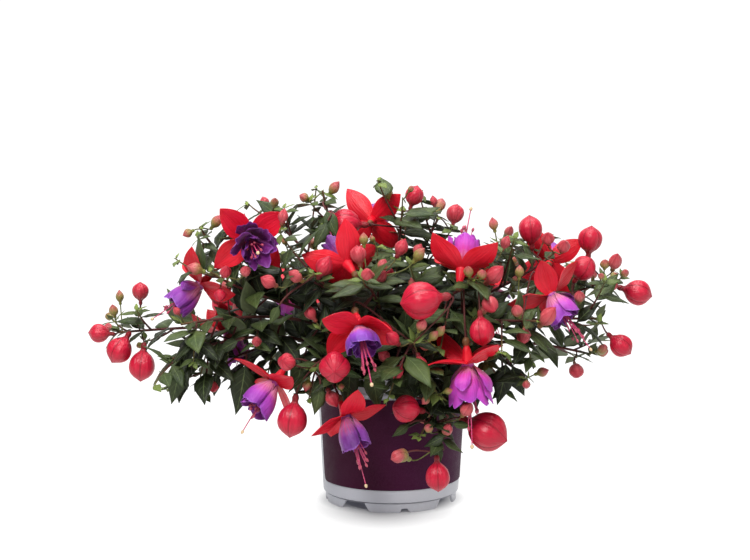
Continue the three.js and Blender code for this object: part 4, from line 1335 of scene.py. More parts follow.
@dataclass(frozen=True)
class FloorFinish:
    """Seamless white paper, very slightly uneven, that glows as painted light, with a painted contact shadow close to
    the pot.
    """

    # white and far are the paper's colour and painted glow on the open floor, grey and near those of the painted shadow
    # by the pot
    white: Colour = tint(0.35, 0.35, 0.35)
    grey: Colour = tint(0.08, 0.08, 0.08)
    near: Colour = tint(0.04, 0.04, 0.05)
    far: Colour = tint(1.0, 1.0, 1.0)
    # Reach of the painted contact shadow: a ring round the pot and a pool in front of it, with the pool's offset and
    # squeeze
    ring: tuple[float, float] = (0.040, 0.060)
    pool: tuple[float, float] = (0.016, 0.078)
    pool_place: Place = (0.006, 0.030, 0.0)
    pool_squeeze: Place = (1.35, 1.0, 1.0)

    def material(self, effects: Effects) -> bpy.types.Material:
        """The finish as a material.

        Args:
            effects: The shared shader groups.

        Returns:
            The material.
        """
        s = Shader("studio paper", effects)
        moved = s.node("ShaderNodeVectorMath", {0: s.solid, 1: self.pool_place}, operation="ADD").outputs[0]
        pool = s.node("ShaderNodeVectorMath", {0: moved, 1: self.pool_squeeze}, operation="MULTIPLY").outputs[0]
        # share is 0 in the painted contact shadow by the pot and 1 on the open paper, for both the base colour and the
        # painted glow
        share = s.times(self._open(s, s.solid, self.ring), self._open(s, pool, self.pool))
        base = s.mix(s.mottle(3.0, 0.0, 0.02), s.mix(share, self.white, self.grey), self.grey)
        s.join(s.mix(share, self.near, self.far), s.bsdf.inputs["Emission Color"])
        return s.dress(base, s.mottle(9.0, 0.7, 0.8), s.mottle(800.0), 0.0001, Emission_Strength=1.0)

    @staticmethod
    def _open(s: Shader, place: Socket, reach: tuple[float, float]) -> Socket:
        """Light on the paper over the distance of a place from the origin, from none to full."""
        distance = s.node("ShaderNodeVectorMath", {0: place}, operation="LENGTH").outputs["Value"]
        return s.span(distance, *reach)


class Finishes:
    """Every material of the scene, made once."""

    def __init__(self) -> None:
        """Makes the materials."""
        effects = Effects()
        self.leaf = LeafFinish().material(effects)
        self.wood = WoodFinish().material(effects)
        self.bud = BudFinish().material(effects)
        self.sepal = SepalFinish().material(effects)
        self.petal = PetalFinish().material(effects)
        self.thread = ThreadFinish().material(effects)
        self.pot = PotFinish().material(effects)
        self.label = LabelFinish().material(effects)
        self.peat = PeatFinish().material(effects)
        self.floor = FloorFinish().material(effects)


# Pot, label and soil

@dataclass
class Pot:
    """A moulded nursery pot: rim band, tapered wall, and a skirt foot with gaps and notches."""

    height: float = 105.0
    rim: float = 60.0
    rim_drop: float = 13.0
    lip: float = 2.4
    wall: float = 1.5
    wall_top: float = 58.2
    wall_foot: float = 53.5
    recess: float = 0.15
    recess_low: float = 17.0
    recess_high: float = 90.0
    foot_height: float = 7.0
    foot: float = 51.6
    foot_wall: float = 2.0
    floor: float = 2.0
    pad: float = 14.0
    pad_slope: float = 6.0
    gaps: int = 4
    gap_turn: float = 56.5
    gap_width: float = 17.0
    gap_slope: float = 5.0
    notch_turn: float = 45.0
    notch_width: float = 5.0
    notch_height: float = 3.0
    drain: float = 4.0
    drain_ring: float = 42.0
    crease: float = 24.0
    steps: int = 288

    def wall_radius(self, z: Values) -> Values:
        """Outer radius of the wall at a height."""
        return self.wall_foot + (self.wall_top - self.wall_foot) * (z - self.foot_height) / (
            self.height - self.rim_drop - self.foot_height)

    def gap_turns(self) -> list[float]:
        """The angle of each gap in the skirt, and of the drain hole over it."""
        return [math.radians(-90 + self.gap_turn + 360 / self.gaps * i) for i in range(self.gaps)]

    def foot_lift(self, angles: np.ndarray) -> np.ndarray:
        """Height of the skirt's lower edge over the ground, round the pot.

        Args:
            angles: Places round the pot, in radians.

        Returns:
            The height at each place.
        """
        lift = np.zeros_like(angles)
        for middle in self.gap_turns():
            for turn, width, slope, height in (
                    (0.0, self.gap_width, self.gap_slope, self.foot_height - 0.4),
                    (self.notch_turn, self.notch_width, self.notch_width / 2 - 1, self.notch_height)):
                off = angles - middle - math.radians(turn)
                side = np.where(np.cos(off) > 0, np.abs(np.sin(off)) * self.foot, 1e3) - width / 2
                lift = np.maximum(lift, np.clip(height - side / slope * (height + 1), 0, height))
        return lift

    def profile(self) -> list[tuple[float, float, float]]:
        """Radius, height and share of the skirt's lift, from the pad in the middle round to the floor.

        Returns:
            The points in order.
        """
        foot, low, rim, top, edge = self.foot, self.foot_height, self.rim, self.height, self.wall_radius
        shoulder, slope = top - self.rim_drop, self.pad + self.pad_slope
        skirt = foot - self.foot_wall
        bore = self.wall_top - self.wall
        floor_top = low + self.floor
        inner = edge(floor_top) - self.wall
        pad = [(0, 0, 0), (self.pad - 1, 0, 0), (self.pad, 0.2, 0), (slope - 0.5, low - 0.3, 0), (slope + 0.5, low, 0)]
        skirt_foot = [(skirt, low, 0), (skirt, 0.3, 1), (skirt + 0.3, 0, 1), (foot - 0.4, 0, 1), (foot, 0.3, 1),
                      (foot + 0.2, low - 0.05, 0), (foot + 0.35, low, 0)]
        step = [(foot - 0.5, low + 0.2, 0), (foot - 0.5, low + 0.9, 0), (self.wall_foot - 0.5, low + 1.0, 0),
                (self.wall_foot - 0.1, low + 1.25, 0), (self.wall_foot + 0.05, low + 1.8, 0)]
        wall = [(edge(z) - inset, z, 0) for z, inset in (
            (self.recess_low, 0), (self.recess_low + 0.3, self.recess), (self.recess_high - 0.4, self.recess),
            (self.recess_high, 0))]
        band = [(self.wall_top, shoulder - 0.3, 0), (self.wall_top + 0.2, shoulder, 0), (rim - 0.5, shoulder, 0),
                (rim, shoulder + 0.5, 0), (rim, shoulder + 1.6, 0), (rim - 0.3, shoulder + 2.0, 0),
                (rim - 0.3, top - 2.2, 0), (rim, top - 1.8, 0), (rim, top - 0.6, 0), (rim - 0.5, top, 0)]
        inside = [(rim - self.lip + 0.5, top, 0), (rim - self.lip, top - 0.5, 0), (bore + 0.2, shoulder + 1.0, 0),
                  (bore, shoulder, 0), (inner, floor_top + 0.6, 0), (inner - 0.6, floor_top, 0), (0, floor_top, 0)]
        return [*pad, *skirt_foot, *step, *wall, *band, *inside]

    def build(self, finishes: Finishes) -> None:
        """Makes the pot in place of its CAD node.

        Args:
            finishes: The materials.
        """
        angles = circle(self.steps)
        lift = self.foot_lift(angles)
        mould = Mould("pot_shell", self.crease)
        mould.skin(np.array([polar(radius, angles, height + share * lift) for radius, height, share in self.profile()]))
        piece = mould.cast(finishes.pot)
        cutter = self._drills().cast()
        cut = piece.modifiers.new("drains", "BOOLEAN")
        cut.operation = "DIFFERENCE"
        cut.object = cutter
        made_plain(piece, cut)
        bpy.data.objects.remove(cutter)
        piece.data.set_sharp_from_angle(angle=mould.crease)
        settle(piece, Slot.POT, "pot")

    def _drills(self) -> Mould:
        """The rods that cut the drain holes through the floor.

        Returns:
            The rods, not yet cast.
        """
        drills = Mould("drain_drills")
        for turn in self.gap_turns():
            middle = np.array([math.cos(turn) * self.drain_ring, math.sin(turn) * self.drain_ring, 0.0])
            path = middle + np.array([[0, 0, self.foot_height - 3.0], [0, 0, self.foot_height + self.floor + 3.0]])
            drills.tube(path, [self.drain, self.drain], 32)
        return drills


@dataclass
class Label:
    """A plain printed sleeve round most of the wall, with soft corners."""

    pot: Pot
    low: float = 18.0
    high: float = 89.0
    gap: float = 0.12
    thickness: float = 0.45
    start: float = -162.0
    sweep: float = 312.0
    corner: float = 5.0
    steps: int = 260
    rows: int = 18

    def build(self, finishes: Finishes) -> None:
        """Makes the label in place of its CAD node.

        Args:
            finishes: The materials.
        """
        shares = np.linspace(0, 1, self.steps)
        angles = np.radians(self.start + self.sweep * shares)
        width = math.radians(self.sweep) * self.pot.wall_radius(50)
        ends = np.minimum(shares, 1 - shares) * width
        rounded = self.corner - np.sqrt(np.maximum(self.corner ** 2 - (self.corner - ends) ** 2, 0))
        inset = np.where(ends < self.corner, rounded, 0)
        grid = []
        for angle, short in zip(angles, inset):
            z = np.linspace(self.low + short, self.high - short, self.rows)
            grid.append(polar(self.pot.wall_radius(z) + self.gap + self.thickness / 2, angle, z))
        mould = Mould("label_sleeve", 40.0)
        mould.blade(np.array(grid), self.thickness, pointed=False)
        settle(mould.cast(finishes.label), Slot.LABEL, "label")


@dataclass
class Soil:
    """A plug of peat with a rough, crumbly top."""

    pot: Pot
    top: float = SOIL_TOP
    crown: float = 1.5
    roughness: float = 1.1
    gap: float = 0.5
    rings: int = 34
    crumbs: int = 520
    crumb: float = 1.5
    crumb_forms: int = 3
    steps: int = 96

    def surface(self, x: Values, y: Values) -> Values:
        """Height of the uneven top.

        Args:
            x: Places over the width.
            y: Places over the depth.

        Returns:
            The height at each place.
        """
        waves = (np.sin(0.31 * x + 1.3) * np.cos(0.27 * y) + 0.6 * np.sin(0.83 * x - 0.71 * y)
                 + 0.4 * np.cos(1.7 * x + 1.3 * y))
        return self.top + self.crown * 0.4 + self.roughness * 0.5 * waves

    def forms(self) -> bpy.types.Collection:
        """A few crumbs of few faces, for the scatter to choose from.

        Returns:
            The collection of crumbs.
        """
        group = bpy.data.collections.new("crumb forms")
        for k in range(self.crumb_forms):
            draws = Draws(900 + k)
            mould = Mould(f"crumb_form_{k}")
            girths = [draws.between(*span) for span in ((0.6, 0.9), (0.8, 1.1), (0.5, 0.8))]
            mould.tube(np.array([[0, 0, z] for z in (-0.9, -0.5, 0.1, 0.6, 0.9)]), [0, *girths, 0], 6)
            mould.form(group, smooth=False)
        return group

    def build(self, finishes: Finishes, scatter: GrowthTree) -> None:
        """Makes the plug in place of the CAD node, and its crumbs with the scatter.

        Args:
            finishes: The materials.
            scatter: The tree that sets the crumbs on the soil.
        """
        low = self.pot.foot_height + self.pot.floor + 0.3
        edge, foot = (self.pot.wall_radius(z) - self.pot.wall - self.gap for z in (self.top, low))
        angles = circle(self.steps)
        rings = [polar(r, angles, z) for r, z in ((0, low), (foot, low), (edge - 0.3, self.top - 3))]
        for radius in np.linspace(edge, 0, self.rings):
            x, y = radius * np.cos(angles), radius * np.sin(angles)
            rings.append(np.stack([x, y, self.surface(x, y)], axis=1))
        mould = Mould("soil_plug", 80.0)
        mould.skin(np.array(rings))
        settle(mould.cast(finishes.peat), Slot.SOIL, "soil")
        draws = Draws(77)
        places, turns, sizes, kinds = [], [], [], []
        for _ in range(self.crumbs):
            angle, radius = draws.between(0, TAU), (edge - 2) * math.sqrt(draws.next())
            x, y = radius * math.cos(angle), radius * math.sin(angle)
            places.append(Vector((x, y, float(self.surface(x, y)) + 0.2)))
            turns.append((draws.between(0, TAU), draws.between(0, TAU), 0))
            sizes.append(self.crumb * draws.between(0.4, 1.2) * MM)
            kinds.append(int(draws.between(0, self.crumb_forms)))
        points = seeds("soil_crumbs", places, turn=turns, size=sizes, kind=kinds)
        settle(scatter.grow(points, Forms=self.forms(), Material=finishes.peat), Slot.SOIL)


# Shoots, leaves and buds

@dataclass
class Limb:
    """A stem or side shoot as a smooth line from its foot to its tip, thinner towards the tip."""

    points: list[Vector]
    out: Vector
    foot: float
    tip: float
    lengths: list[float] = field(init=False)

    def __post_init__(self) -> None:
        """Measures the line."""
        self.lengths = [0.0]
        for a, b in zip(self.points, self.points[1:]):
            self.lengths.append(self.lengths[-1] + (b - a).length)

    @property
    def length(self) -> float:
        """Length of the whole line."""
        return self.lengths[-1]

    def from_tip(self, distance: float) -> tuple[Vector, Vector]:
        """Place and heading at a distance back from the tip.

        Args:
            distance: Distance back from the tip, along the line.

        Returns:
            The place and the heading.
        """
        target = max(0.0, self.length - distance)
        i = 1
        while i < len(self.lengths) - 1 and self.lengths[i] < target:
            i += 1
        share = (target - self.lengths[i - 1]) / (self.lengths[i] - self.lengths[i - 1])
        return self.points[i - 1].lerp(self.points[i], share), (self.points[i] - self.points[i - 1]).normalized()

    def nearest(self, point: Vector) -> tuple[Vector, Vector]:
        """Place and heading where the line passes nearest to a point, away from its tip and its root.

        Args:
            point: The point.

        Returns:
            The place and the heading.
        """
        best, gap = 6.0, (self.from_tip(6.0)[0] - point).length
        distance = 2.0
        while distance < self.length * 0.8:
            near = (self.from_tip(distance)[0] - point).length
            if near < gap:
                best, gap = distance, near
            distance += 2.0
        return self.from_tip(best)

    def girths(self) -> list[float]:
        """Radius at each of its points."""
        return [self.foot + (self.tip - self.foot) * at / self.length for at in self.lengths]


@dataclass(frozen=True)
class Leaf:
    """One leaf: its foot, heading, upper side, length, droop and tone."""

    place: Vector
    heading: Vector
    normal: Vector
    length: float
    droop: float
    tone: float

    @property
    def side(self) -> Vector:
        """The unit vector across the leaf."""
        return self.heading.cross(self.normal)

    def point(self, t: float) -> Vector:
        """A point of its midrib."""
        return (self.place + self.heading * (self.length * t * (1 - 0.25 * self.droop * t * t))
                - self.normal * (self.length * self.droop * t * t))

    def turn(self) -> tuple[float, ...]:
        """Its turn from a form that points along Y with its upper side along Z."""
        return tuple(Matrix((self.side, self.heading, self.normal)).transposed().to_euler("XYZ"))


@dataclass(frozen=True)
class SmallBud:
    """One small bud: the foot of its stalk, its middle, aim, radius, ripeness and the stalk's first way."""

    foot: Vector
    middle: Vector
    aim: Vector
    radius: float
    ripe: float
    start: Vector


def stem_limb(plan: StemPlan) -> Limb:
    """The line of a stem: upright out of the soil, then outwards in its own upright plane to its tip.

    Args:
        plan: Plan of the stem.

    Returns:
        The line.
    """
    tip = Vector(plan.tip)
    way = math.atan2(tip.y, tip.x)
    out = Vector((math.cos(way), math.sin(way), 0.0))
    root = out * plan.root
    root.z = SOIL_TOP - HOLE_DEPTH + 1
    reach = math.hypot(tip.x, tip.y) - plan.root
    pitch = math.radians(plan.pitch)
    heading = out * math.cos(pitch) + UP * math.sin(pitch)
    collar = Vector((root.x, root.y, SOIL_TOP + 3))
    pull = 0.42 * math.hypot(reach, tip.z - root.z - plan.rise * 0.5)
    points = bezier((collar, collar + UP * (plan.rise - HOLE_DEPTH), tip - heading * pull, tip), 60)
    return Limb(points, out, 1.7, 0.9)


def pair_turn(pair: int) -> float:
    """Usual turn about the stem of a pair of leaves, in degrees; each pair crosses the next."""
    return 12.0 if pair % 2 else 62.0


def leaf_on(limb: Limb, seed: int, distance: float, length: float, base: float, hand: int, attitude: Place) -> Leaf:
    """A leaf of a limb.

    Args:
        limb: The limb.
        seed: Seed of its draws.
        distance: Distance of its foot from the tip of the limb.
        length: Usual length of such a leaf.
        base: Usual turn of its pair about the limb, in degrees.
        hand: 1 or -1, for the two leaves of the pair.
        attitude: Turn, hang and size.

    Returns:
        The leaf.
    """
    draws = Draws(seed)
    place, heading = limb.from_tip(distance)
    level, rise = across(heading)
    turn, hang, size = attitude
    angle = math.radians(base + draws.between(-10, 10) + turn)
    out = (level * math.cos(angle) + rise * (math.sin(angle) * hand)) * hand
    if hand < 0:
        out += rise * 0.1
    lean = draws.between(0.35, 0.65)
    fall = draws.between(0.1, 0.45) + hang
    direction = (heading * lean + out - UP * fall).normalized()
    light = UP * 0.75 + limb.out * 0.45 + out * 0.15
    normal = (light - direction * light.dot(direction)).normalized()
    grown = length * draws.between(0.85, 1.15) * size
    droop = draws.between(0.08, 0.26)
    tone = max(0.0, 1 - grown / 23) * 0.95 + 0.05 * draws.next()
    return Leaf(place, direction, normal, grown, droop, min(tone, 1.0))


class Thicket:
    """Room among the pieces: what is already there, where leaves may go and what they may not hide."""

    cell = 7.0
    margin = 9.0
    ragged = 5.0
    shell = (9.0, 19.0, 31.0)
    hidden_reach = 90.0
    bud_room = 1.0
    edge_on = 0.5

    def __init__(self, plans: Sequence[BloomPlan], buds: Sequence[BudPlan]) -> None:
        """Reads the blooms, pot, label and soil from the frame.

        Args:
            plans: The open blooms.
            buds: The large buds.
        """
        nodes = [f"{plan.name}_{part}" for plan in plans for part in ("calyx", "corolla")]
        self.blooms = self._tree(nodes)
        self.bare = self._tree([name for name in nodes if name not in VEILED])
        self.pot = self._tree(["pot", "label", "soil"])
        self.buds = [(Vector(bud.at), bud.radius) for bud in buds]
        self.taken: dict[tuple[int, int, int], list[Vector]] = {}
        low, high = CAD_BOX
        self.low = Vector(low) / MM - Vector((1, 1, 1)) * self.margin
        self.high = Vector(high) / MM + Vector((1, 1, 1)) * self.margin

    @staticmethod
    def _tree(names: Sequence[str]) -> BVHTree:
        """A search tree of some CAD nodes, in millimetres.

        Args:
            names: Names of the nodes.

        Returns:
            The tree.
        """
        points: list[Vector] = []
        faces: list[tuple[int, ...]] = []
        for name in names:
            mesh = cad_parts[name].data
            start = len(points)
            points.extend(vertex.co / MM for vertex in mesh.vertices)
            faces.extend(tuple(start + i for i in polygon.vertices) for polygon in mesh.polygons)
        return BVHTree.FromPolygons(points, faces)

    def cuts(self, a: Vector, b: Vector) -> bool:
        """Whether a line from a to b meets a bloom, the pot or a large bud.

        Args:
            a: Start of the line.
            b: End of the line.

        Returns:
            True if it meets one.
        """
        way = b - a
        reach = way.length
        if self.blooms.ray_cast(a, way, reach)[0] or self.pot.ray_cast(a, way, reach)[0]:
            return True
        for middle, radius in self.buds:
            share = min(1.0, max(0.0, (middle - a).dot(way) / (reach * reach)))
            if (a + way * share - middle).length < radius + self.bud_room:
                return True
        return False

    def hides(self, point: Vector) -> bool:
        """Whether a point stands close in front of a bloom or large bud, as the camera sees it.

        Args:
            point: The point.

        Returns:
            True if it does.
        """
        way = (point - CAMERA_PLACE).normalized()
        if self.bare.ray_cast(point, way, self.hidden_reach)[0]:
            return True
        for middle, radius in self.buds:
            along = (middle - point).dot(way)
            if 0 < along < self.hidden_reach and (point + way * along - middle).length < radius:
                return True
        return False

    def _home(self, point: Vector) -> tuple[int, int, int]:
        """The cell of a point."""
        return tuple(int(math.floor(value / self.cell)) for value in point)

    def near(self, point: Vector) -> list[Vector]:
        """The leaf points in the cell of a place and in the cells round it.

        Args:
            point: The place.

        Returns:
            The points.
        """
        x, y, z = self._home(point)
        steps = (-1, 0, 1)
        return [other for dx in steps for dy in steps for dz in steps
                for other in self.taken.get((x + dx, y + dy, z + dz), ())]

    def cover(self, point: Vector) -> int:
        """How many leaf points shade a place from above and from outside the crown."""
        out = ((point - CROWN_MIDDLE).normalized() + UP).normalized()
        return sum(len(self.near(point + out * step)) for step in self.shell)

    def take(self, leaf: Leaf) -> None:
        """Remembers a leaf.

        Args:
            leaf: The leaf.
        """
        for t in (0.35, 0.7):
            point = leaf.point(t)
            self.taken.setdefault(self._home(point), []).append(point)

    def inside(self, point: Vector) -> bool:
        """Whether a point stays within the size of the part and the reach of its crown.

        Args:
            point: The point.

        Returns:
            True if it does.
        """
        if not all(self.low[i] <= point[i] <= self.high[i] for i in range(3)):
            return False
        seen = CAMERA_PLACE + (point - CAMERA_PLACE) * (CAMERA_PLACE.y / (CAMERA_PLACE.y - point.y))
        floor, roof = (np.interp(seen.x, *zip(*line)) for line in (CROWN_FLOOR, CROWN_ROOF))
        ragged = self.ragged * (1 + math.sin(seen.x * 0.23))
        return floor + ragged <= seen.z <= roof - ragged

    def open_way(self, foot: Vector, tip: Vector) -> bool:
        """Whether a shoot can pass from its foot to its tip."""
        return self.inside(tip) and not self.cuts(foot, tip) and not self.hides(tip)

    def fits(self, leaf: Leaf, gap: float) -> bool:
        """Whether a leaf has room.

        Args:
            leaf: The leaf.
            gap: Least distance between its middle and another's.

        Returns:
            True if it meets nothing, stays in the crown, hides no bloom and doesn't turn its underside to the camera.
        """
        base, middle, tip = leaf.point(0.2), leaf.point(0.5), leaf.point(1.0)
        if not self.inside(tip) or not self.inside(middle):
            return False
        if any((other - middle).length < gap for other in self.near(middle)):
            return False
        seen = (CAMERA_PLACE - middle).normalized()
        if leaf.heading.dot(seen) > self.edge_on and leaf.normal.dot(seen) < 0:
            return False
        half = leaf.side * leaf.length * 0.25
        edges = (middle - half, middle + half)
        if any(self.hides(point) for point in (leaf.point(0.3), middle, leaf.point(0.75), tip, *edges)):
            return False
        spans = ((base, middle), (middle, tip), edges, *((end, edge) for end in (base, tip) for edge in edges))
        return not any(self.cuts(a, b) for a, b in spans)


@dataclass(frozen=True)
class LeafForms:
    """The few moulded leaves that are scattered: pointed ovals, folded on the midrib, with wavy margins."""

    droops: tuple[float, ...] = (0.08, 0.14, 0.20, 0.26)
    rows: tuple[tuple[float, float], ...] = (
        (0.0, 0.034), (0.09, 0.03), (0.15, 0.40), (0.25, 0.84), (0.39, 1.0), (0.56, 0.84), (0.72, 0.52), (0.87, 0.21),
        (1.0, 0.0))
    columns: tuple[float, ...] = (-1.0, -0.55, 0.0, 0.55, 1.0)
    half_width: float = 0.23
    fold: float = 0.34
    wave: float = 0.022
    curl: float = 0.05
    sway: float = 0.02
    thickness: tuple[float, ...] = (0.0128, 0.0128, 0.0256, 0.0128, 0.0128)
    stalk: float = 0.05
    stalk_end: float = 0.1

    def kind(self, leaf: Leaf, seed: int) -> int:
        """The form nearest to a leaf's droop."""
        nearest = min(range(len(self.droops)), key=lambda i: abs(self.droops[i] - leaf.droop))
        return nearest * 2 + seed % 2

    def build(self) -> bpy.types.Collection:
        """Moulds the forms, one unit long, along Y with their upper side along Z.

        Returns:
            The collection of forms.
        """
        group = bpy.data.collections.new("leaf forms")
        across_leaf = np.array(self.columns)
        thick = [[self.stalk] * len(self.columns) if t < self.stalk_end else self.thickness for t, _ in self.rows]
        for k in range(len(self.droops) * 2):
            droop = self.droops[k // 2]
            hand, plump = (1, 1.05) if k % 2 else (-1, 0.95)
            grid = []
            for t, share in self.rows:
                x = across_leaf * (self.half_width * share * plump)
                wave = self.wave * share * hand * np.sin(9 * t + 1.2) * across_leaf ** 3
                curl = -self.curl * share * across_leaf ** 4
                z = -droop * t * t + self.fold * (0.5 + 0.5 * share) * np.abs(x) * 0.8 + wave + curl
                along = np.full(len(x), t * (1 - 0.25 * droop * t * t))
                grid.append(np.stack([x + self.sway * hand * math.sin(math.pi * t), along, z], axis=1))
            mould = Mould(f"leaf_form_{k:02d}")
            mould.blade(np.array(grid), np.array(thick))
            mould.form(group)
        return group


def bud_lobes(angles: np.ndarray) -> np.ndarray:
    """A bud's radius over angle: four sepals that meet in raised keels with shallow seams."""
    return 1 + 0.045 * np.cos(4 * angles) - 0.045 * np.exp(-((np.mod(angles, TAU / 4) - TAU / 8) / 0.14) ** 2)


@dataclass(frozen=True)
class BudForms:
    """The few moulded small buds that are scattered, one unit in radius, pointing along Z."""

    stretches: tuple[float, ...] = (1.0, 1.16, 0.92)

    def build(self) -> bpy.types.Collection:
        """Moulds the forms.

        Returns:
            The collection of forms.
        """
        group = bpy.data.collections.new("bud forms")
        for k, stretch in enumerate(self.stretches):
            mould = Mould(f"bud_form_{k}")
            path = np.array([[0, 0, along * stretch] for along, _ in GREEN_PROFILE])
            mould.tube(path, [share for _, share in GREEN_PROFILE], 12, lobes=bud_lobes)
            mould.form(group)
        return group


class Kit:
    """What every stem is grown with."""

    def __init__(self, finishes: Finishes, scatter: GrowthTree) -> None:
        """Moulds the forms and reads the room.

        Args:
            finishes: The materials.
            scatter: The tree that sets forms on points.
        """
        self.finishes = finishes
        self.thicket = Thicket(BLOOMS, BUDS)
        self.scatter = scatter
        self.wood = shoot_tree()
        self.leaves = LeafForms()
        self.leaf_forms = self.leaves.build()
        self.bud_forms = BudForms().build()


@dataclass
class LeafyStem:
    """A stem with its leaves, side shoots and buds, all growing from its own line."""

    plan: StemPlan
    index: int
    limb: Limb
    buds: list[BudPlan]
    kit: Kit
    shoots: int = 6
    first_shoot: float = 12.0
    spacing: float = 18.0
    shoot_low: float = 20.0
    shoot_high: float = 44.0
    shoot_ways: int = 12
    bare_foot: float = 8.0
    tuft_leaf: float = 8.0
    pair_gap: float = 5.5
    filler_gap: float = 8.0
    shoot_gap: float = 8.5
    tip_gap: float = 3.0
    bud_neck: float = 1.7
    ripe_neck: float = 1.62
    leaves: list[Leaf] = field(default_factory=list)
    kinds: list[int] = field(default_factory=list)
    small: list[SmallBud] = field(default_factory=list)
    woods: list[Wood] = field(default_factory=list)

    def grow(self) -> None:
        """Finds the places of everything on the stem; build makes the pieces."""
        self._stem_wood()
        self._cad_leaves()
        self._cad_bud()
        self._broad_leaves()
        self._more_leaves()
        for number in range(FEW_SHOOTS.get(self.plan.name, self.shoots)):
            self._side_shoot(number)

    def _stem_wood(self) -> None:
        """The stem itself, down into its hole in the soil."""
        collar = self.limb.points[0]
        girths = self.limb.girths()[::3]
        tones = [0.75 * (i / (len(girths) - 1)) ** 2 for i in range(len(girths))]
        path = [Vector((collar.x, collar.y, SOIL_TOP - HOLE_DEPTH + 2)), *self.limb.points[::3]]
        self.woods.append((path, [girths[0], *girths], [0.0, *tones]))

    def _keep(self, leaf: Leaf, seed: int) -> None:
        """Adds a leaf and takes its room.

        Args:
            leaf: The leaf.
            seed: Seed of its draws, which also picks its form.
        """
        self.leaves.append(leaf)
        self.kinds.append(self.kit.leaves.kind(leaf, seed))
        self.kit.thicket.take(leaf)

    def _seed(self, pair: int, hand: int) -> int:
        """The seed of a leaf's draws, as in the CAD."""
        return self.index * 97 + pair * 11 + (1 if hand > 0 else 2)

    def _cad_leaves(self) -> None:
        """The leaves of the CAD node, each where the node has its tip."""
        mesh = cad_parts[self.plan.name].data
        tips = KDTree(len(mesh.vertices))
        for i, vertex in enumerate(mesh.vertices):
            tips.insert(vertex.co / MM, i)
        tips.balance()
        for usual in CAD_PAIRS:
            pair = usual - 1 if usual == CAD_PAIRS[-1] and self.limb.length < SHORT_STEM else usual
            for hand in (1, -1):
                seed = self._seed(pair, hand)
                for attitude in ATTITUDES:
                    leaf = leaf_on(self.limb, seed, NODE_PLACES[pair], LEAF_LENGTHS[pair], pair_turn(pair), hand,
                                   attitude)
                    if tips.find(leaf.point(1))[2] < SAME_TIP:
                        self._keep(leaf, seed)
                        break
        LOG.info("%s: %d leaves where the CAD has them", self.plan.name, len(self.leaves))

    def _cad_bud(self) -> None:
        """The small bud at the tip of every other stem, where the CAD node has it."""
        if self.index % 2:
            return
        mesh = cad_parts[self.plan.name].data
        place, heading = self.limb.from_tip(4)
        for turn, hang, size in ATTITUDES:
            draws = Draws(self.index * 131 + 5)
            out = around(heading, draws.between(0, TAU) + math.radians(turn * 3))
            aim = (heading * (0.8 - hang) + out * 0.7 + UP * 0.5).normalized()
            radius = draws.between(2.7, 4.7) * size
            middle = place + aim * (draws.between(9, 14) + radius)
            tip = middle + aim * radius * 1.45
            if any((vertex.co / MM - tip).length < SAME_TIP for vertex in mesh.vertices):
                ripe = draws.between(0.2, 0.7)
                self.small.append(SmallBud(place, middle, aim, radius, ripe, (out + heading).normalized()))
                return

    def _try_leaf(self, limb: Limb, seed: int, distance: float, length: float, base: float, hand: int,
                  gap: float) -> None:
        """Adds a leaf in the first attitude that has room, if any.

        Args:
            limb: The limb.
            seed: Seed of its draws.
            distance: Distance of its foot from the tip.
            length: Usual length of such a leaf.
            base: Usual turn of its pair, in degrees.
            hand: 1 or -1, for the two leaves of the pair.
            gap: Least distance to another leaf.
        """
        for attitude in ATTITUDES:
            leaf = leaf_on(limb, seed, distance, length, base, hand, attitude)
            if self.kit.thicket.fits(leaf, gap):
                self._keep(leaf, seed)
                return

    def _more_leaves(self) -> None:
        """The pairs between those of the CAD, a smaller pair beside each, and the tuft at the tip."""
        for pair, (distance, length) in enumerate(zip(NODE_PLACES, LEAF_LENGTHS)):
            if distance > self.limb.length - self.bare_foot:
                break
            base = pair_turn(pair)
            for hand in (1, -1):
                seed = self._seed(pair, hand)
                if pair not in CAD_PAIRS:
                    self._try_leaf(self.limb, seed, distance, length, base, hand, self.pair_gap)
                if self.plan.name not in FEW_SHOOTS:
                    self._try_leaf(self.limb, seed + 5000, distance + 7, length * 0.85, base + 45, hand,
                                   self.filler_gap)
        for hand in (1, -1):
            self._try_leaf(self.limb, self.index * 13 + hand + 7000, 0.5, self.tuft_leaf, 40.0, hand, 1.0)

    def _broad_leaves(self) -> None:
        """The large leaves of this stem that hang clear, each on a short twig."""
        for number, (on, foot, tip) in enumerate(BROAD_LEAVES):
            if on != self.plan.name:
                continue
            foot, tip = Vector(foot), Vector(tip)
            way = (tip - foot).normalized()
            start = self.limb.nearest(foot)[0]
            twig = (foot - start) * 0.4
            self.woods.append((bezier((start, start + twig, foot - way * twig.length, foot), 8), [0.75] * 9, [0.5] * 9))
            light = Vector((0.1 * (-1) ** number, -0.75, 0.65))
            normal = (light - way * light.dot(way)).normalized()
            self._keep(Leaf(foot, way, normal, (tip - foot).length, 0.1 + 0.03 * (number % 4), 0.0), number)

    def _side_shoot(self, number: int) -> None:
        """A short side shoot with small leaves, and buds at its tip, that grows where it is least crowded.

        Args:
            number: Its number on the stem, from the tip down.
        """
        draws = Draws(self.index * 211 + number * 29 + 3)
        distance = (self.first_shoot + number * self.spacing) + draws.between(-4, 4)
        if distance > self.limb.length - self.bare_foot:
            return
        shoot = self._least_crowded(*self.limb.from_tip(distance), draws)
        if shoot is None:
            return
        self.woods.append((shoot.points, shoot.girths(), [0.3 + 0.65 * i / 10 for i in range(11)]))
        for pair, (back, size) in enumerate(SHOOT_PAIRS):
            if back > shoot.length - 3:
                break
            gap = self.tip_gap if pair < 2 else self.shoot_gap
            for hand in (1, -1):
                seed = self.index * 977 + number * 101 + pair * 11 + hand + 20000
                self._try_leaf(shoot, seed, back, size, pair_turn(pair), hand, gap)
        for count in range(int(draws.between(0.0, 2.2))):
            self._tip_bud(shoot, self.index * 1301 + number * 37 + count * 7, 2.0 + 3.5 * count)

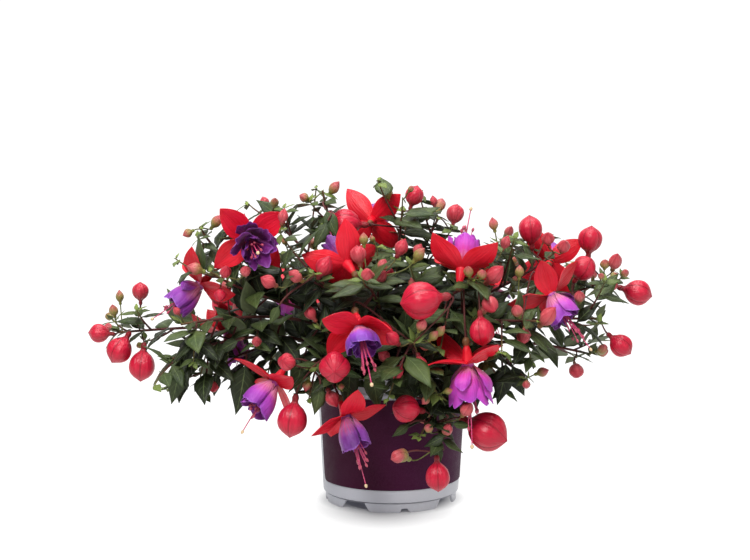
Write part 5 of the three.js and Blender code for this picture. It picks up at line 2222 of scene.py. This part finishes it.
    def _least_crowded(self, foot: Vector, heading: Vector, draws: Draws) -> Limb | None:
        """The line of a side shoot, tried in several ways.

        Args:
            foot: Its place on the stem.
            heading: The stem's way there.
            draws: Numbers for the ways.

        Returns:
            The line whose tip has the fewest leaves near it, or none where no way is open.
        """
        room = self.kit.thicket
        over_rim = foot.y < -42 and foot.z < 172 and math.hypot(foot.x, foot.y) > 52
        best: tuple[int, Vector, float, float, Vector] | None = None
        for _ in range(self.shoot_ways):
            out = around(heading, draws.between(0, TAU))
            lift = draws.between(-1.6, 0.2) if over_rim else 0.75 if foot.z > 125 else draws.between(-0.5, 0.6)
            way = (heading * 0.5 + out * 0.8 + UP * lift * 0.6).normalized()
            length = draws.between(self.shoot_low, self.shoot_high)
            tip = foot + way * length + UP * (lift * length * 0.35)
            if not room.open_way(foot + way * 4, tip):
                continue
            crowd = len(room.near(tip)) + len(room.near(foot.lerp(tip, 0.6)))
            if best is None or crowd < best[0]:
                best = (crowd, way, length, lift, tip)
        if best is None:
            return None
        _, way, length, lift, tip = best
        points = bezier((foot, foot + way * length * 0.4, tip - (way * 0.5 + UP * lift * 0.5) * length * 0.35, tip), 10)
        flat = Vector((way.x, way.y, 0))
        outward = flat.normalized() if flat.length > 0.2 else self.limb.out
        return Limb(points, (outward + self.limb.out).normalized(), foot=0.9, tip=0.5)

    def _tip_bud(self, limb: Limb, seed: int, back: float) -> None:
        """A small bud near the tip of a shoot, if it has room.

        Args:
            limb: The shoot.
            seed: Seed of its draws.
            back: Distance of its foot from the tip.
        """
        draws = Draws(seed)
        place, heading = limb.from_tip(back)
        for _ in range(4):
            out = around(heading, draws.between(0, TAU))
            aim = (heading * 0.7 + out * 0.7 + UP * draws.between(0.1, 0.7)).normalized()
            radius = draws.between(2.2, 4.8)
            middle = place + aim * (draws.between(4, 10) + radius * self.bud_neck)
            if self.kit.thicket.open_way(place + aim * 3, middle + aim * radius * 1.5):
                ripe = (radius - 2.0) / 2.8 * draws.between(0.3, 0.9)
                self.small.append(SmallBud(place, middle, aim, radius, ripe, (out + heading).normalized()))
                return

    def young_bud(self, middle: Vector, radius: float, ripe: float) -> None:
        """A small bud in a set place, on a stalk from the nearest part of the stem.

        Args:
            middle: Its middle.
            radius: Its radius.
            ripe: Its ripeness, from 0 to 1.
        """
        foot = self.limb.nearest(middle)[0]
        way = (middle - foot).normalized()
        aim = (way * 0.8 + Vector((0, -0.3, 0.6 if way.z > -0.2 else -0.1))).normalized()
        self.small.append(SmallBud(foot, middle, aim, radius, ripe, (way + UP * 0.2).normalized()))

    def _tones(self) -> list[float]:
        """How young each leaf is, over 0, or how much painted shade it takes deep in the crown, under 0."""
        shades = [min(1.0, self.kit.thicket.cover(leaf.point(0.5)) / DEEP_COVER) * DEEP_SHADE for leaf in self.leaves]
        return [leaf.tone - shade * (1 - leaf.tone) for leaf, shade in zip(self.leaves, shades)]

    def build(self) -> None:
        """Makes the pieces of the stem: its leaves, its wood, and its buds."""
        kit, name = self.kit, self.plan.name
        points = seeds(f"{name}_leaves", [leaf.place for leaf in self.leaves],
                       turn=[leaf.turn() for leaf in self.leaves], size=[leaf.length * MM for leaf in self.leaves],
                       kind=self.kinds, tone=self._tones())
        settle(kit.scatter.grow(points, Forms=kit.leaf_forms, Material=kit.finishes.leaf), Slot.FOLIAGE, name)
        big = Mould(f"{name}_ripe_buds", 60.0)
        for plan in self.buds:
            self._ripe_bud(big, plan)
        for bud in self.small:
            base = bud.middle - bud.aim * bud.radius * self.bud_neck
            line = stalk_line(bud.foot, bud.start, base, bud.aim, 8)
            self.woods.append((line, [0.5] * 9, [0.8 + 0.2 * (1 - bud.ripe)] * 9))
        settle(kit.wood.grow(lines(f"{name}_wood", self.woods), Material=kit.finishes.wood), Slot.FOLIAGE)
        if self.small:
            turns = [tuple(bud.aim.to_track_quat("Z", "Y").to_euler("XYZ")) for bud in self.small]
            places = seeds(f"{name}_small_buds", [bud.middle for bud in self.small], turn=turns,
                           size=[bud.radius * MM for bud in self.small], kind=[i % 3 for i in range(len(self.small))],
                           tone=[bud.ripe for bud in self.small])
            settle(kit.scatter.grow(places, Forms=kit.bud_forms, Material=kit.finishes.bud), Slot.CALYX)
        if self.buds:
            settle(big.cast(kit.finishes.bud), Slot.CALYX)

    def _ripe_bud(self, mould: Mould, plan: BudPlan) -> None:
        """A large bud with its keels and ovary, and its stalk among the woods of the stem.

        Args:
            mould: Piece that it is added to.
            plan: Its place, size and aim.
        """
        middle = Vector(plan.at)
        aim = Vector(plan.aim).normalized()
        base = middle - aim * plan.radius * self.ripe_neck
        foot, heading = self.limb.nearest(base)
        start = ((base - foot).normalized() + heading * 0.6).normalized()
        girths = [0.55 + 0.25 * (i / 14) ** 3 for i in range(15)]
        self.woods.append((stalk_line(foot, start, base, aim, 14), girths, [0.5] * 15))
        rows = np.array(RIPE_PROFILE)
        fine = [np.linspace(a, b, 3, endpoint=False) for a, b in zip(rows[:-1, 0], rows[1:, 0])]
        dense = np.concatenate([*fine, rows[-1:, 0]])
        shares = np.interp(dense, rows[:, 0], rows[:, 1])
        for _ in range(2):
            shares[1:-1] = 0.25 * shares[:-2] + 0.5 * shares[1:-1] + 0.25 * shares[2:]
        path = np.array(middle) + dense[:, None] * plan.radius * np.array(aim)
        draws = Draws(int(abs(sum(plan.at)) * 10))
        ripe = min(1.0, 0.55 + (plan.radius - 5) / 7) * draws.between(0.9, 1.05)
        mould.tube(path, shares * plan.radius, 32, lobes=bud_lobes, tone=ripe)


# Blooms

@dataclass
class Bloom:
    """An open double bloom: red calyx with its stamens, and the violet corolla inside it."""

    plan: BloomPlan
    look: Look
    limb: Limb
    index: int
    neck_sides: int = 24
    ovary_end: float = -18.6
    sepal_length: float = 35.0
    sepal_width: float = 20.0
    sepal_root: float = 2.9
    sepal_waist: float = 0.46
    sepal_peak: float = 0.42
    sepal_thickness: float = 1.15
    sepal_keel: float = 0.55
    sepal_rows: int = 19
    sepal_columns: int = 11
    petal_width: float = 15.2
    petal_length: float = 24.0
    petal_thickness: float = 0.38
    petal_keel: float = 0.7
    petal_rows: int = 17
    petal_columns: int = 15
    stamens: int = 8
    style_past: float = 14.0
    # Radius and height of the red neck, from the mouth over its collar, down the tube to the ovary
    neck: tuple[tuple[float, float], ...] = (
        (0.0, -2.6), (2.6, -2.2), (3.8, -0.9), (4.3, -0.7), (4.5, -1.5), (4.2, -3.4), (3.6, -6.0), (3.2, -8.5),
        (2.8, -10.6), (2.2, -12.2), (1.9, -13.0), (2.3, -13.8), (2.75, -15.2), (2.7, -16.8), (2.1, -18.2), (1.2, -19.0),
        (0.0, -19.4))
    neck_tones: tuple[float, ...] = (*[0.0] * 10, 0.35, *[0.9] * 6)
    heart: tuple[tuple[float, float], ...] = ((0.0, -1.8), (3.4, -1.4), (4.6, 0.2), (4.4, 1.8), (3.2, 2.8), (0.0, 3.1))

    def __post_init__(self) -> None:
        """Finds the turned frame of the bloom."""
        axis = Vector(self.plan.axis).normalized()
        side = around(axis, math.radians(self.plan.turn))
        self.basis = np.array([side, axis.cross(side), axis])
        self.mouth = np.array(self.plan.mouth)

    def place(self, local: np.ndarray) -> np.ndarray:
        """Points of the bloom's own frame, with its axis as Z, in the frame of the part."""
        return self.mouth + (local @ self.basis) * self.plan.size

    def _lathe(self, mould: Mould, profile: Sequence[tuple[float, float]], sides: int,
               **values: Values) -> None:
        """Adds a round skin about the axis, from radius and height, closed in a point at both ends."""
        rings = np.array([polar(radius, circle(sides), height) for radius, height in profile])
        mould.skin(self.place(rings), **values)

    def _sepal_line(self, start: float, end: float) -> list[np.ndarray]:
        """Share, radius, height and angle along a sepal's middle, whose angle from the axis turns from start to end.

        Args:
            start: First angle in degrees.
            end: Last angle in degrees.

        Returns:
            The four, row by row.
        """
        fine = np.linspace(0, 1, 97)
        angles = np.radians(start + (end - start) * fine)
        middles = angles[1:] * 0.5 + angles[:-1] * 0.5
        step = self.sepal_length / (len(fine) - 1)
        radius = self.sepal_root + np.concatenate([[0], np.cumsum(np.sin(middles) * step)])
        height = -1.4 + np.concatenate([[0], np.cumsum(np.cos(middles) * step)])
        t = np.linspace(0, 1, self.sepal_rows) ** 0.9
        return [t[:, None], *(np.interp(t, fine, value)[:, None] for value in (radius, height, angles))]

    def _rolled(self, along: np.ndarray, inner: np.ndarray, t: np.ndarray) -> tuple[np.ndarray, np.ndarray]:
        """A sepal's width and inner side, turned about its length so that the inner side meets the camera's eye.

        Args:
            along: The way over its width.
            inner: The way that its inner side faces, row by row.
            t: Share of its length at each row.

        Returns:
            The two ways, turned as far as the bloom's look lets them.
        """
        view = self.basis @ unit(np.array(CAMERA_PLACE) - self.mouth)
        facing, off = float(inner[self.sepal_rows // 2, 0] @ view), float(along @ view)
        roll = math.atan(-off / (facing if abs(facing) > 1e-6 else 1e-6))
        roll = np.clip(roll, -self.look.sepal_roll, self.look.sepal_roll)
        turned = (roll * np.clip(t[:, 0] * 2.2, 0, 1))[:, None, None]
        return along * np.cos(turned) + inner * np.sin(turned), inner * np.cos(turned) - along * np.sin(turned)

    def _sepal(self, mould: Mould, azimuth: float, start: float, end: float, draws: Draws) -> None:
        """One sepal, cupped at its foot, with a keel and a twist of its own.

        Args:
            mould: Piece that it is added to.
            azimuth: Its place round the mouth, in radians.
            start: Angle from the axis at its foot, in degrees.
            end: Angle from the axis at its tip.
            draws: Numbers for its own twist.
        """
        t, radius, height, angle = self._sepal_line(start, end)
        peak, waist = self.sepal_peak, self.sepal_waist
        shape = np.where(t < peak, waist + (1 - waist) * np.sin(math.pi / 2 * np.minimum(1, t / peak)),
                         1 - np.clip((t - peak) / (1 - peak), 0, 1) ** 1.9)
        u = np.linspace(-1, 1, self.sepal_columns)[None, :]
        x = u * shape * self.sepal_width / 2
        cup = draws.between(2.0, 3.6) * (1 - 0.6 * t) * shape
        curl = draws.between(-0.8, 2.4) * t ** 2 * shape
        lift = (cup - curl) * np.abs(u) ** 1.9 - self.sepal_keel * shape * np.exp(-(u / 0.14) ** 2)
        bend = draws.between(-2.2, 2.2) * t ** 2 + 0 * u
        twist = draws.between(-0.22, 0.22) * t ** 2
        ahead, outward = np.array([0.0, 0.0, 1.0]), np.array([math.cos(azimuth), math.sin(azimuth), 0.0])
        along, inner = self._rolled(np.array([-math.sin(azimuth), math.cos(azimuth), 0.0]),
                                    -np.cos(angle)[..., None] * outward + np.sin(angle)[..., None] * ahead, t)
        grid = (radius[..., None] * outward + height[..., None] * ahead + (x + bend)[..., None] * along
                + (lift + x * twist)[..., None] * inner)
        thick = self.sepal_thickness * (1 - 0.62 * np.abs(u) ** 3) * (1 - 0.45 * t)
        mould.blade(self.place(grid), thick * self.plan.size, tone=0.0)

    def _thread(self, mould: Mould, azimuth: float, spread: float, reach: float, radius: float, head: Place,
                draws: Draws) -> None:
        """A stamen or the style, with its head.

        Args:
            mould: Piece that it is added to.
            azimuth: Its way round the axis, in radians.
            spread: How far its end stands off the axis.
            reach: Its length from the mouth.
            radius: Its thickness at the foot.
            head: Radius, length and tone of its head.
            draws: Numbers for its bend.
        """
        s = np.linspace(0, 1, 12)
        way = np.array([math.cos(azimuth), math.sin(azimuth)])
        off = 1.2 + (spread - 1.2) * s ** 2
        bend = draws.between(-1.6, 1.6) * np.sin(math.pi * s)
        path = np.stack([off * way[0] - bend * way[1], off * way[1] + bend * way[0], -1.5 + (reach + 1.5) * s], axis=1)
        size = self.plan.size
        world = self.place(path)
        mould.tube(world, radius * (1 - 0.35 * s) * size, 6, finish=1, tone=0.0)
        thick, length, tone = head
        rows = np.array([-0.5, -0.42, -0.2, 0.1, 0.36, 0.5])
        shares = np.array([0.0, 0.62, 1.0, 0.95, 0.55, 0.0])
        way_out = unit(world[-1] - world[-2])
        mould.tube(world[-1] + rows[:, None] * length * size * way_out, shares * thick * size, 8, finish=1, tone=tone)

    def calyx(self, finishes: Finishes) -> None:
        """Makes the red parts in place of their CAD node.

        Args:
            finishes: The materials.
        """
        draws = Draws(4000 + self.index)
        mould = Mould(f"{self.plan.name}_red_calyx", 60.0)
        self._lathe(mould, self.neck, self.neck_sides, tone=np.array(self.neck_tones)[:, None])
        for i, (start, end) in enumerate(self.plan.sepals):
            self._sepal(mould, math.radians(45 + 90 * i), start, end, draws)
        for i in range(self.stamens):
            azimuth = TAU * (i + draws.between(-0.3, 0.3)) / self.stamens
            self._thread(mould, azimuth, draws.between(3.0, 6.5), self.look.stamen_reach - draws.between(-2, 12), 0.5,
                         (1.05, 3.8, 0.6), draws)
        self._thread(mould, math.radians(105), 5.0, self.look.stamen_reach + self.style_past, 0.62, (1.35, 3.4, 1.0),
                     draws)
        settle(mould.cast(finishes.sepal, finishes.thread), Slot.CALYX, f"{self.plan.name}_calyx")

    def stalk(self) -> Wood:
        """The pedicel as a line of wood, from the stem to the ovary.

        Returns:
            Its points, radii and tones.
        """
        top = Vector(self.place(np.array([0.0, 0.0, self.ovary_end])))
        foot = self.limb.nearest(top)[0]
        path = stalk_line(foot, (top - foot).normalized(), top, Vector(self.basis[2]), 14)
        return path, [0.7 + 0.25 * (i / 14) ** 4 for i in range(15)], [0.5] * 15

    def _petal(self, mould: Mould, azimuth: float, shape: tuple[float, ...], draws: Draws) -> None:
        """One petal of the bell, overlapping the next, cupped and with a wavy hem.

        Args:
            mould: Piece that it is added to.
            azimuth: Its way round the axis, in radians.
            shape: Share of the bell's width, share of its length, half its angle in degrees, radius at its foot,
                and how pointed it is.
            draws: Numbers for its folds.
        """
        size, tall, half_angle, foot, pointed = shape
        s = np.linspace(0, 1, self.petal_rows)[:, None]
        u = np.linspace(-1, 1, self.petal_columns)[None, :]
        spread = self.plan.spread
        wide = self.petal_width * spread * size
        length = self.petal_length * self.look.tall * tall * (2 - spread)
        phase = draws.between(0, TAU)
        edge = 1 - (0.14 + 0.3 * pointed) * np.abs(u) ** (2.4 - pointed) + 0.018 * np.sin(7 * u + phase)
        at = s * edge
        swell = np.sin(math.pi / 2 * np.minimum(1, at / 0.72)) - np.maximum(0, at - 0.72) * 0.3 * (1.4 - spread)
        flare = draws.between(-0.5, 2.2 + 4.5 * self.look.loose) * at ** 3
        cup = draws.between(1.8, 3.6) * np.abs(u) ** 2 * at ** 1.3
        waves = draws.between(2.0, 3.2)
        ruffle = (0.55 * np.sin(waves * 2 * u + phase) + 0.3 * np.sin(waves * 4.3 * u + 2 * phase)) * at ** 3
        keel = self.petal_keel * np.exp(-(u / 0.2) ** 2) * at * (1 - 0.6 * at)
        radius = foot + (wide - foot) * swell + flare - cup + ruffle - keel + 1.5 * u * at ** 0.5
        reach = np.radians(half_angle) * np.minimum(1, 0.32 + 1.15 * s ** 0.6) * (1 - 0.35 * pointed * s)
        angle = azimuth + u * reach + 0.14 * draws.between(-1, 1) * s ** 2
        thick = self.petal_thickness * (1 - 0.5 * s ** 3) * (1 - 0.4 * np.abs(u) ** 4)
        mould.blade(self.place(polar(radius, angle, 1.0 + length * at)), thick * self.plan.size, pointed=False,
                    age=self.look.age, shade=draws.between(0.0, 0.32), deep=self.look.deep * draws.between(0.6, 1.1))

    def corolla(self, finishes: Finishes) -> None:
        """Makes the violet petals in place of their CAD node, in rings from the outside in.

        Args:
            finishes: The materials.
        """
        loose = self.look.loose
        draws = Draws(6000 + self.index)
        mould = Mould(f"{self.plan.name}_petals", 70.0)
        self._lathe(mould, self.heart, 20, age=self.look.age, shade=0.0, deep=self.look.deep)
        # Count, turn in degrees, jitter, spans of width, length and half angle, extra angle, foot and point of a ring
        rings = ((4, 0, 0.1, (0.92, 1.04), (0.9, 1.05), (46, 53), -8 * loose, 4.5, 0.6 * loose),
                 (round(4 * loose), 20, 0.3, (1.02, 1.2), (0.5, 0.72), (24, 34), 0, 4.7, 0.7),
                 (4, 45, 0.2, (0.7, 0.86), (0.86, 1.06), (30, 40), 0, 4.0, 0.3),
                 (4, 0, 0.3, (0.38, 0.6), (0.8, 1.0), (32, 46), 0, 3.2, 0.3))
        for count, turn, jitter, wide, tall, half, extra, foot, pointed in rings:
            for i in range(count):
                shape = (draws.between(*wide), draws.between(*tall), draws.between(*half) + extra, foot, pointed)
                self._petal(mould, math.radians(90 * i + turn) + draws.between(-jitter, jitter), shape, draws)
        settle(mould.cast(finishes.petal), Slot.COROLLA, f"{self.plan.name}_corolla")


# Studio

@dataclass
class Studio:
    """White paper, wide enough for every side, that curves up far behind the plant, with soft lamps and the camera.

    The camera stands at the photograph's view. lens is in millimetres and pitch is its turn down, in degrees.
    """

    lens: float = 91.2
    sensor: float = 36.0
    pitch: float = 7.24
    half_width: float = 18000.0
    front: float = -18000.0
    back: float = 2600.0
    bend: float = 900.0
    wall: float = 2500.0
    lamps: tuple[tuple[str, Place, float, float], ...] = (
        ("key", (-500, -1300, 1500), 800, 40.0),
        ("fill", (1300, -900, 900), 1000, 6.0),
        ("top", (0, 150, 1700), 1300, 36.0),
    )
    lamp_aim: Place = (0, 0, 140)
    sky: float = 0.08

    def build(self, finishes: Finishes) -> None:
        """Makes the paper, the lamps, the sky and the camera.

        Args:
            finishes: The materials.
        """
        self._paper(finishes)
        for lamp in self.lamps:
            self._lamp(*lamp)
        self._sky()
        self._camera()

    def _paper(self, finishes: Finishes) -> None:
        """The floor and the wall behind, as one curved sheet.

        Args:
            finishes: The materials.
        """
        curve = [(self.front, 0.0), (self.back, 0.0)]
        curve += [(self.back + self.bend * math.sin(a), self.bend * (1 - math.cos(a)))
                  for a in np.linspace(0.1, math.pi / 2, 16)]
        curve.append((self.back + self.bend, self.bend + self.wall))
        mesh = bpy.data.meshes.new("studio_paper")
        points = [(x * MM, y * MM, z * MM) for y, z in curve for x in (-self.half_width, self.half_width)]
        mesh.from_pydata(points, [], [(2 * i, 2 * i + 1, 2 * i + 3, 2 * i + 2) for i in range(len(curve) - 1)])
        mesh.materials.append(finishes.floor)
        mesh.shade_smooth()
        shown("studio_paper", mesh)

    def _lamp(self, name: str, place: Place, size: float, power: float) -> None:
        """A square soft lamp that shines on the plant.

        Args:
            name: Name of the lamp.
            place: Its place.
            size: Width of its square.
            power: Its power.
        """
        light = bpy.data.lights.new(name, "AREA")
        light.size = size * MM
        light.energy = power
        lamp = bpy.data.objects.new(name, light)
        lamp.location = Vector(place) * MM
        lamp.rotation_euler = (Vector(self.lamp_aim) - Vector(place)).to_track_quat("-Z", "Y").to_euler()
        bpy.context.scene.collection.objects.link(lamp)

    def _sky(self) -> None:
        """Even white light from all round."""
        world = bpy.data.worlds.new("studio light")
        world.use_nodes = True
        sky = world.node_tree.nodes["Background"]
        sky.inputs["Color"].default_value = tint(1.0, 1.0, 1.0)
        sky.inputs["Strength"].default_value = self.sky
        bpy.context.scene.world = world

    def _camera(self) -> None:
        """The camera of the photograph."""
        data = bpy.data.cameras.new("camera")
        data.lens = self.lens
        data.sensor_width = self.sensor
        data.clip_start = 0.05
        camera = bpy.data.objects.new("camera", data)
        camera.location = CAMERA_PLACE * MM
        camera.rotation_euler = (math.radians(90 - self.pitch), 0.0, 0.0)
        scene = bpy.context.scene
        scene.collection.objects.link(camera)
        scene.camera = camera
        scene.view_settings.view_transform = "Standard"
        scene.view_settings.look = "None"


def main() -> None:
    """Builds the scene round the frame, piece by piece."""
    logging.basicConfig(level=logging.INFO, format="%(name)s: %(message)s")
    finishes = Finishes()
    Studio().build(finishes)
    scatter = scatter_tree()
    pot = Pot()
    pot.build(finishes)
    Label(pot).build(finishes)
    Soil(pot).build(finishes, scatter)
    limbs = {plan.name: stem_limb(plan) for plan in STEMS}
    blooms = [Bloom(plan, LOOKS[plan.name], limbs[plan.on], i) for i, plan in enumerate(BLOOMS)]
    for bloom in blooms:
        bloom.calyx(finishes)
        bloom.corolla(finishes)
    kit = Kit(finishes, scatter)
    stems = {plan.name: LeafyStem(plan, i, limbs[plan.name], [bud for bud in BUDS if bud.on == plan.name], kit)
             for i, plan in enumerate(STEMS)}
    for stem in stems.values():
        stem.grow()
    for bloom in blooms:
        stems[bloom.plan.on].woods.append(bloom.stalk())
    for *place, radius, ripe in YOUNG_BUDS:
        middle = Vector(place)
        nearest = min(stems.values(), key=lambda stem: (stem.limb.nearest(middle)[0] - middle).length)
        nearest.young_bud(middle, radius, ripe)
    for stem in stems.values():
        stem.build()
    LOG.info("%d leaves, %d small buds", sum(len(stem.leaves) for stem in stems.values()),
             sum(len(stem.small) for stem in stems.values()))


if __name__ == "__main__":
    main()
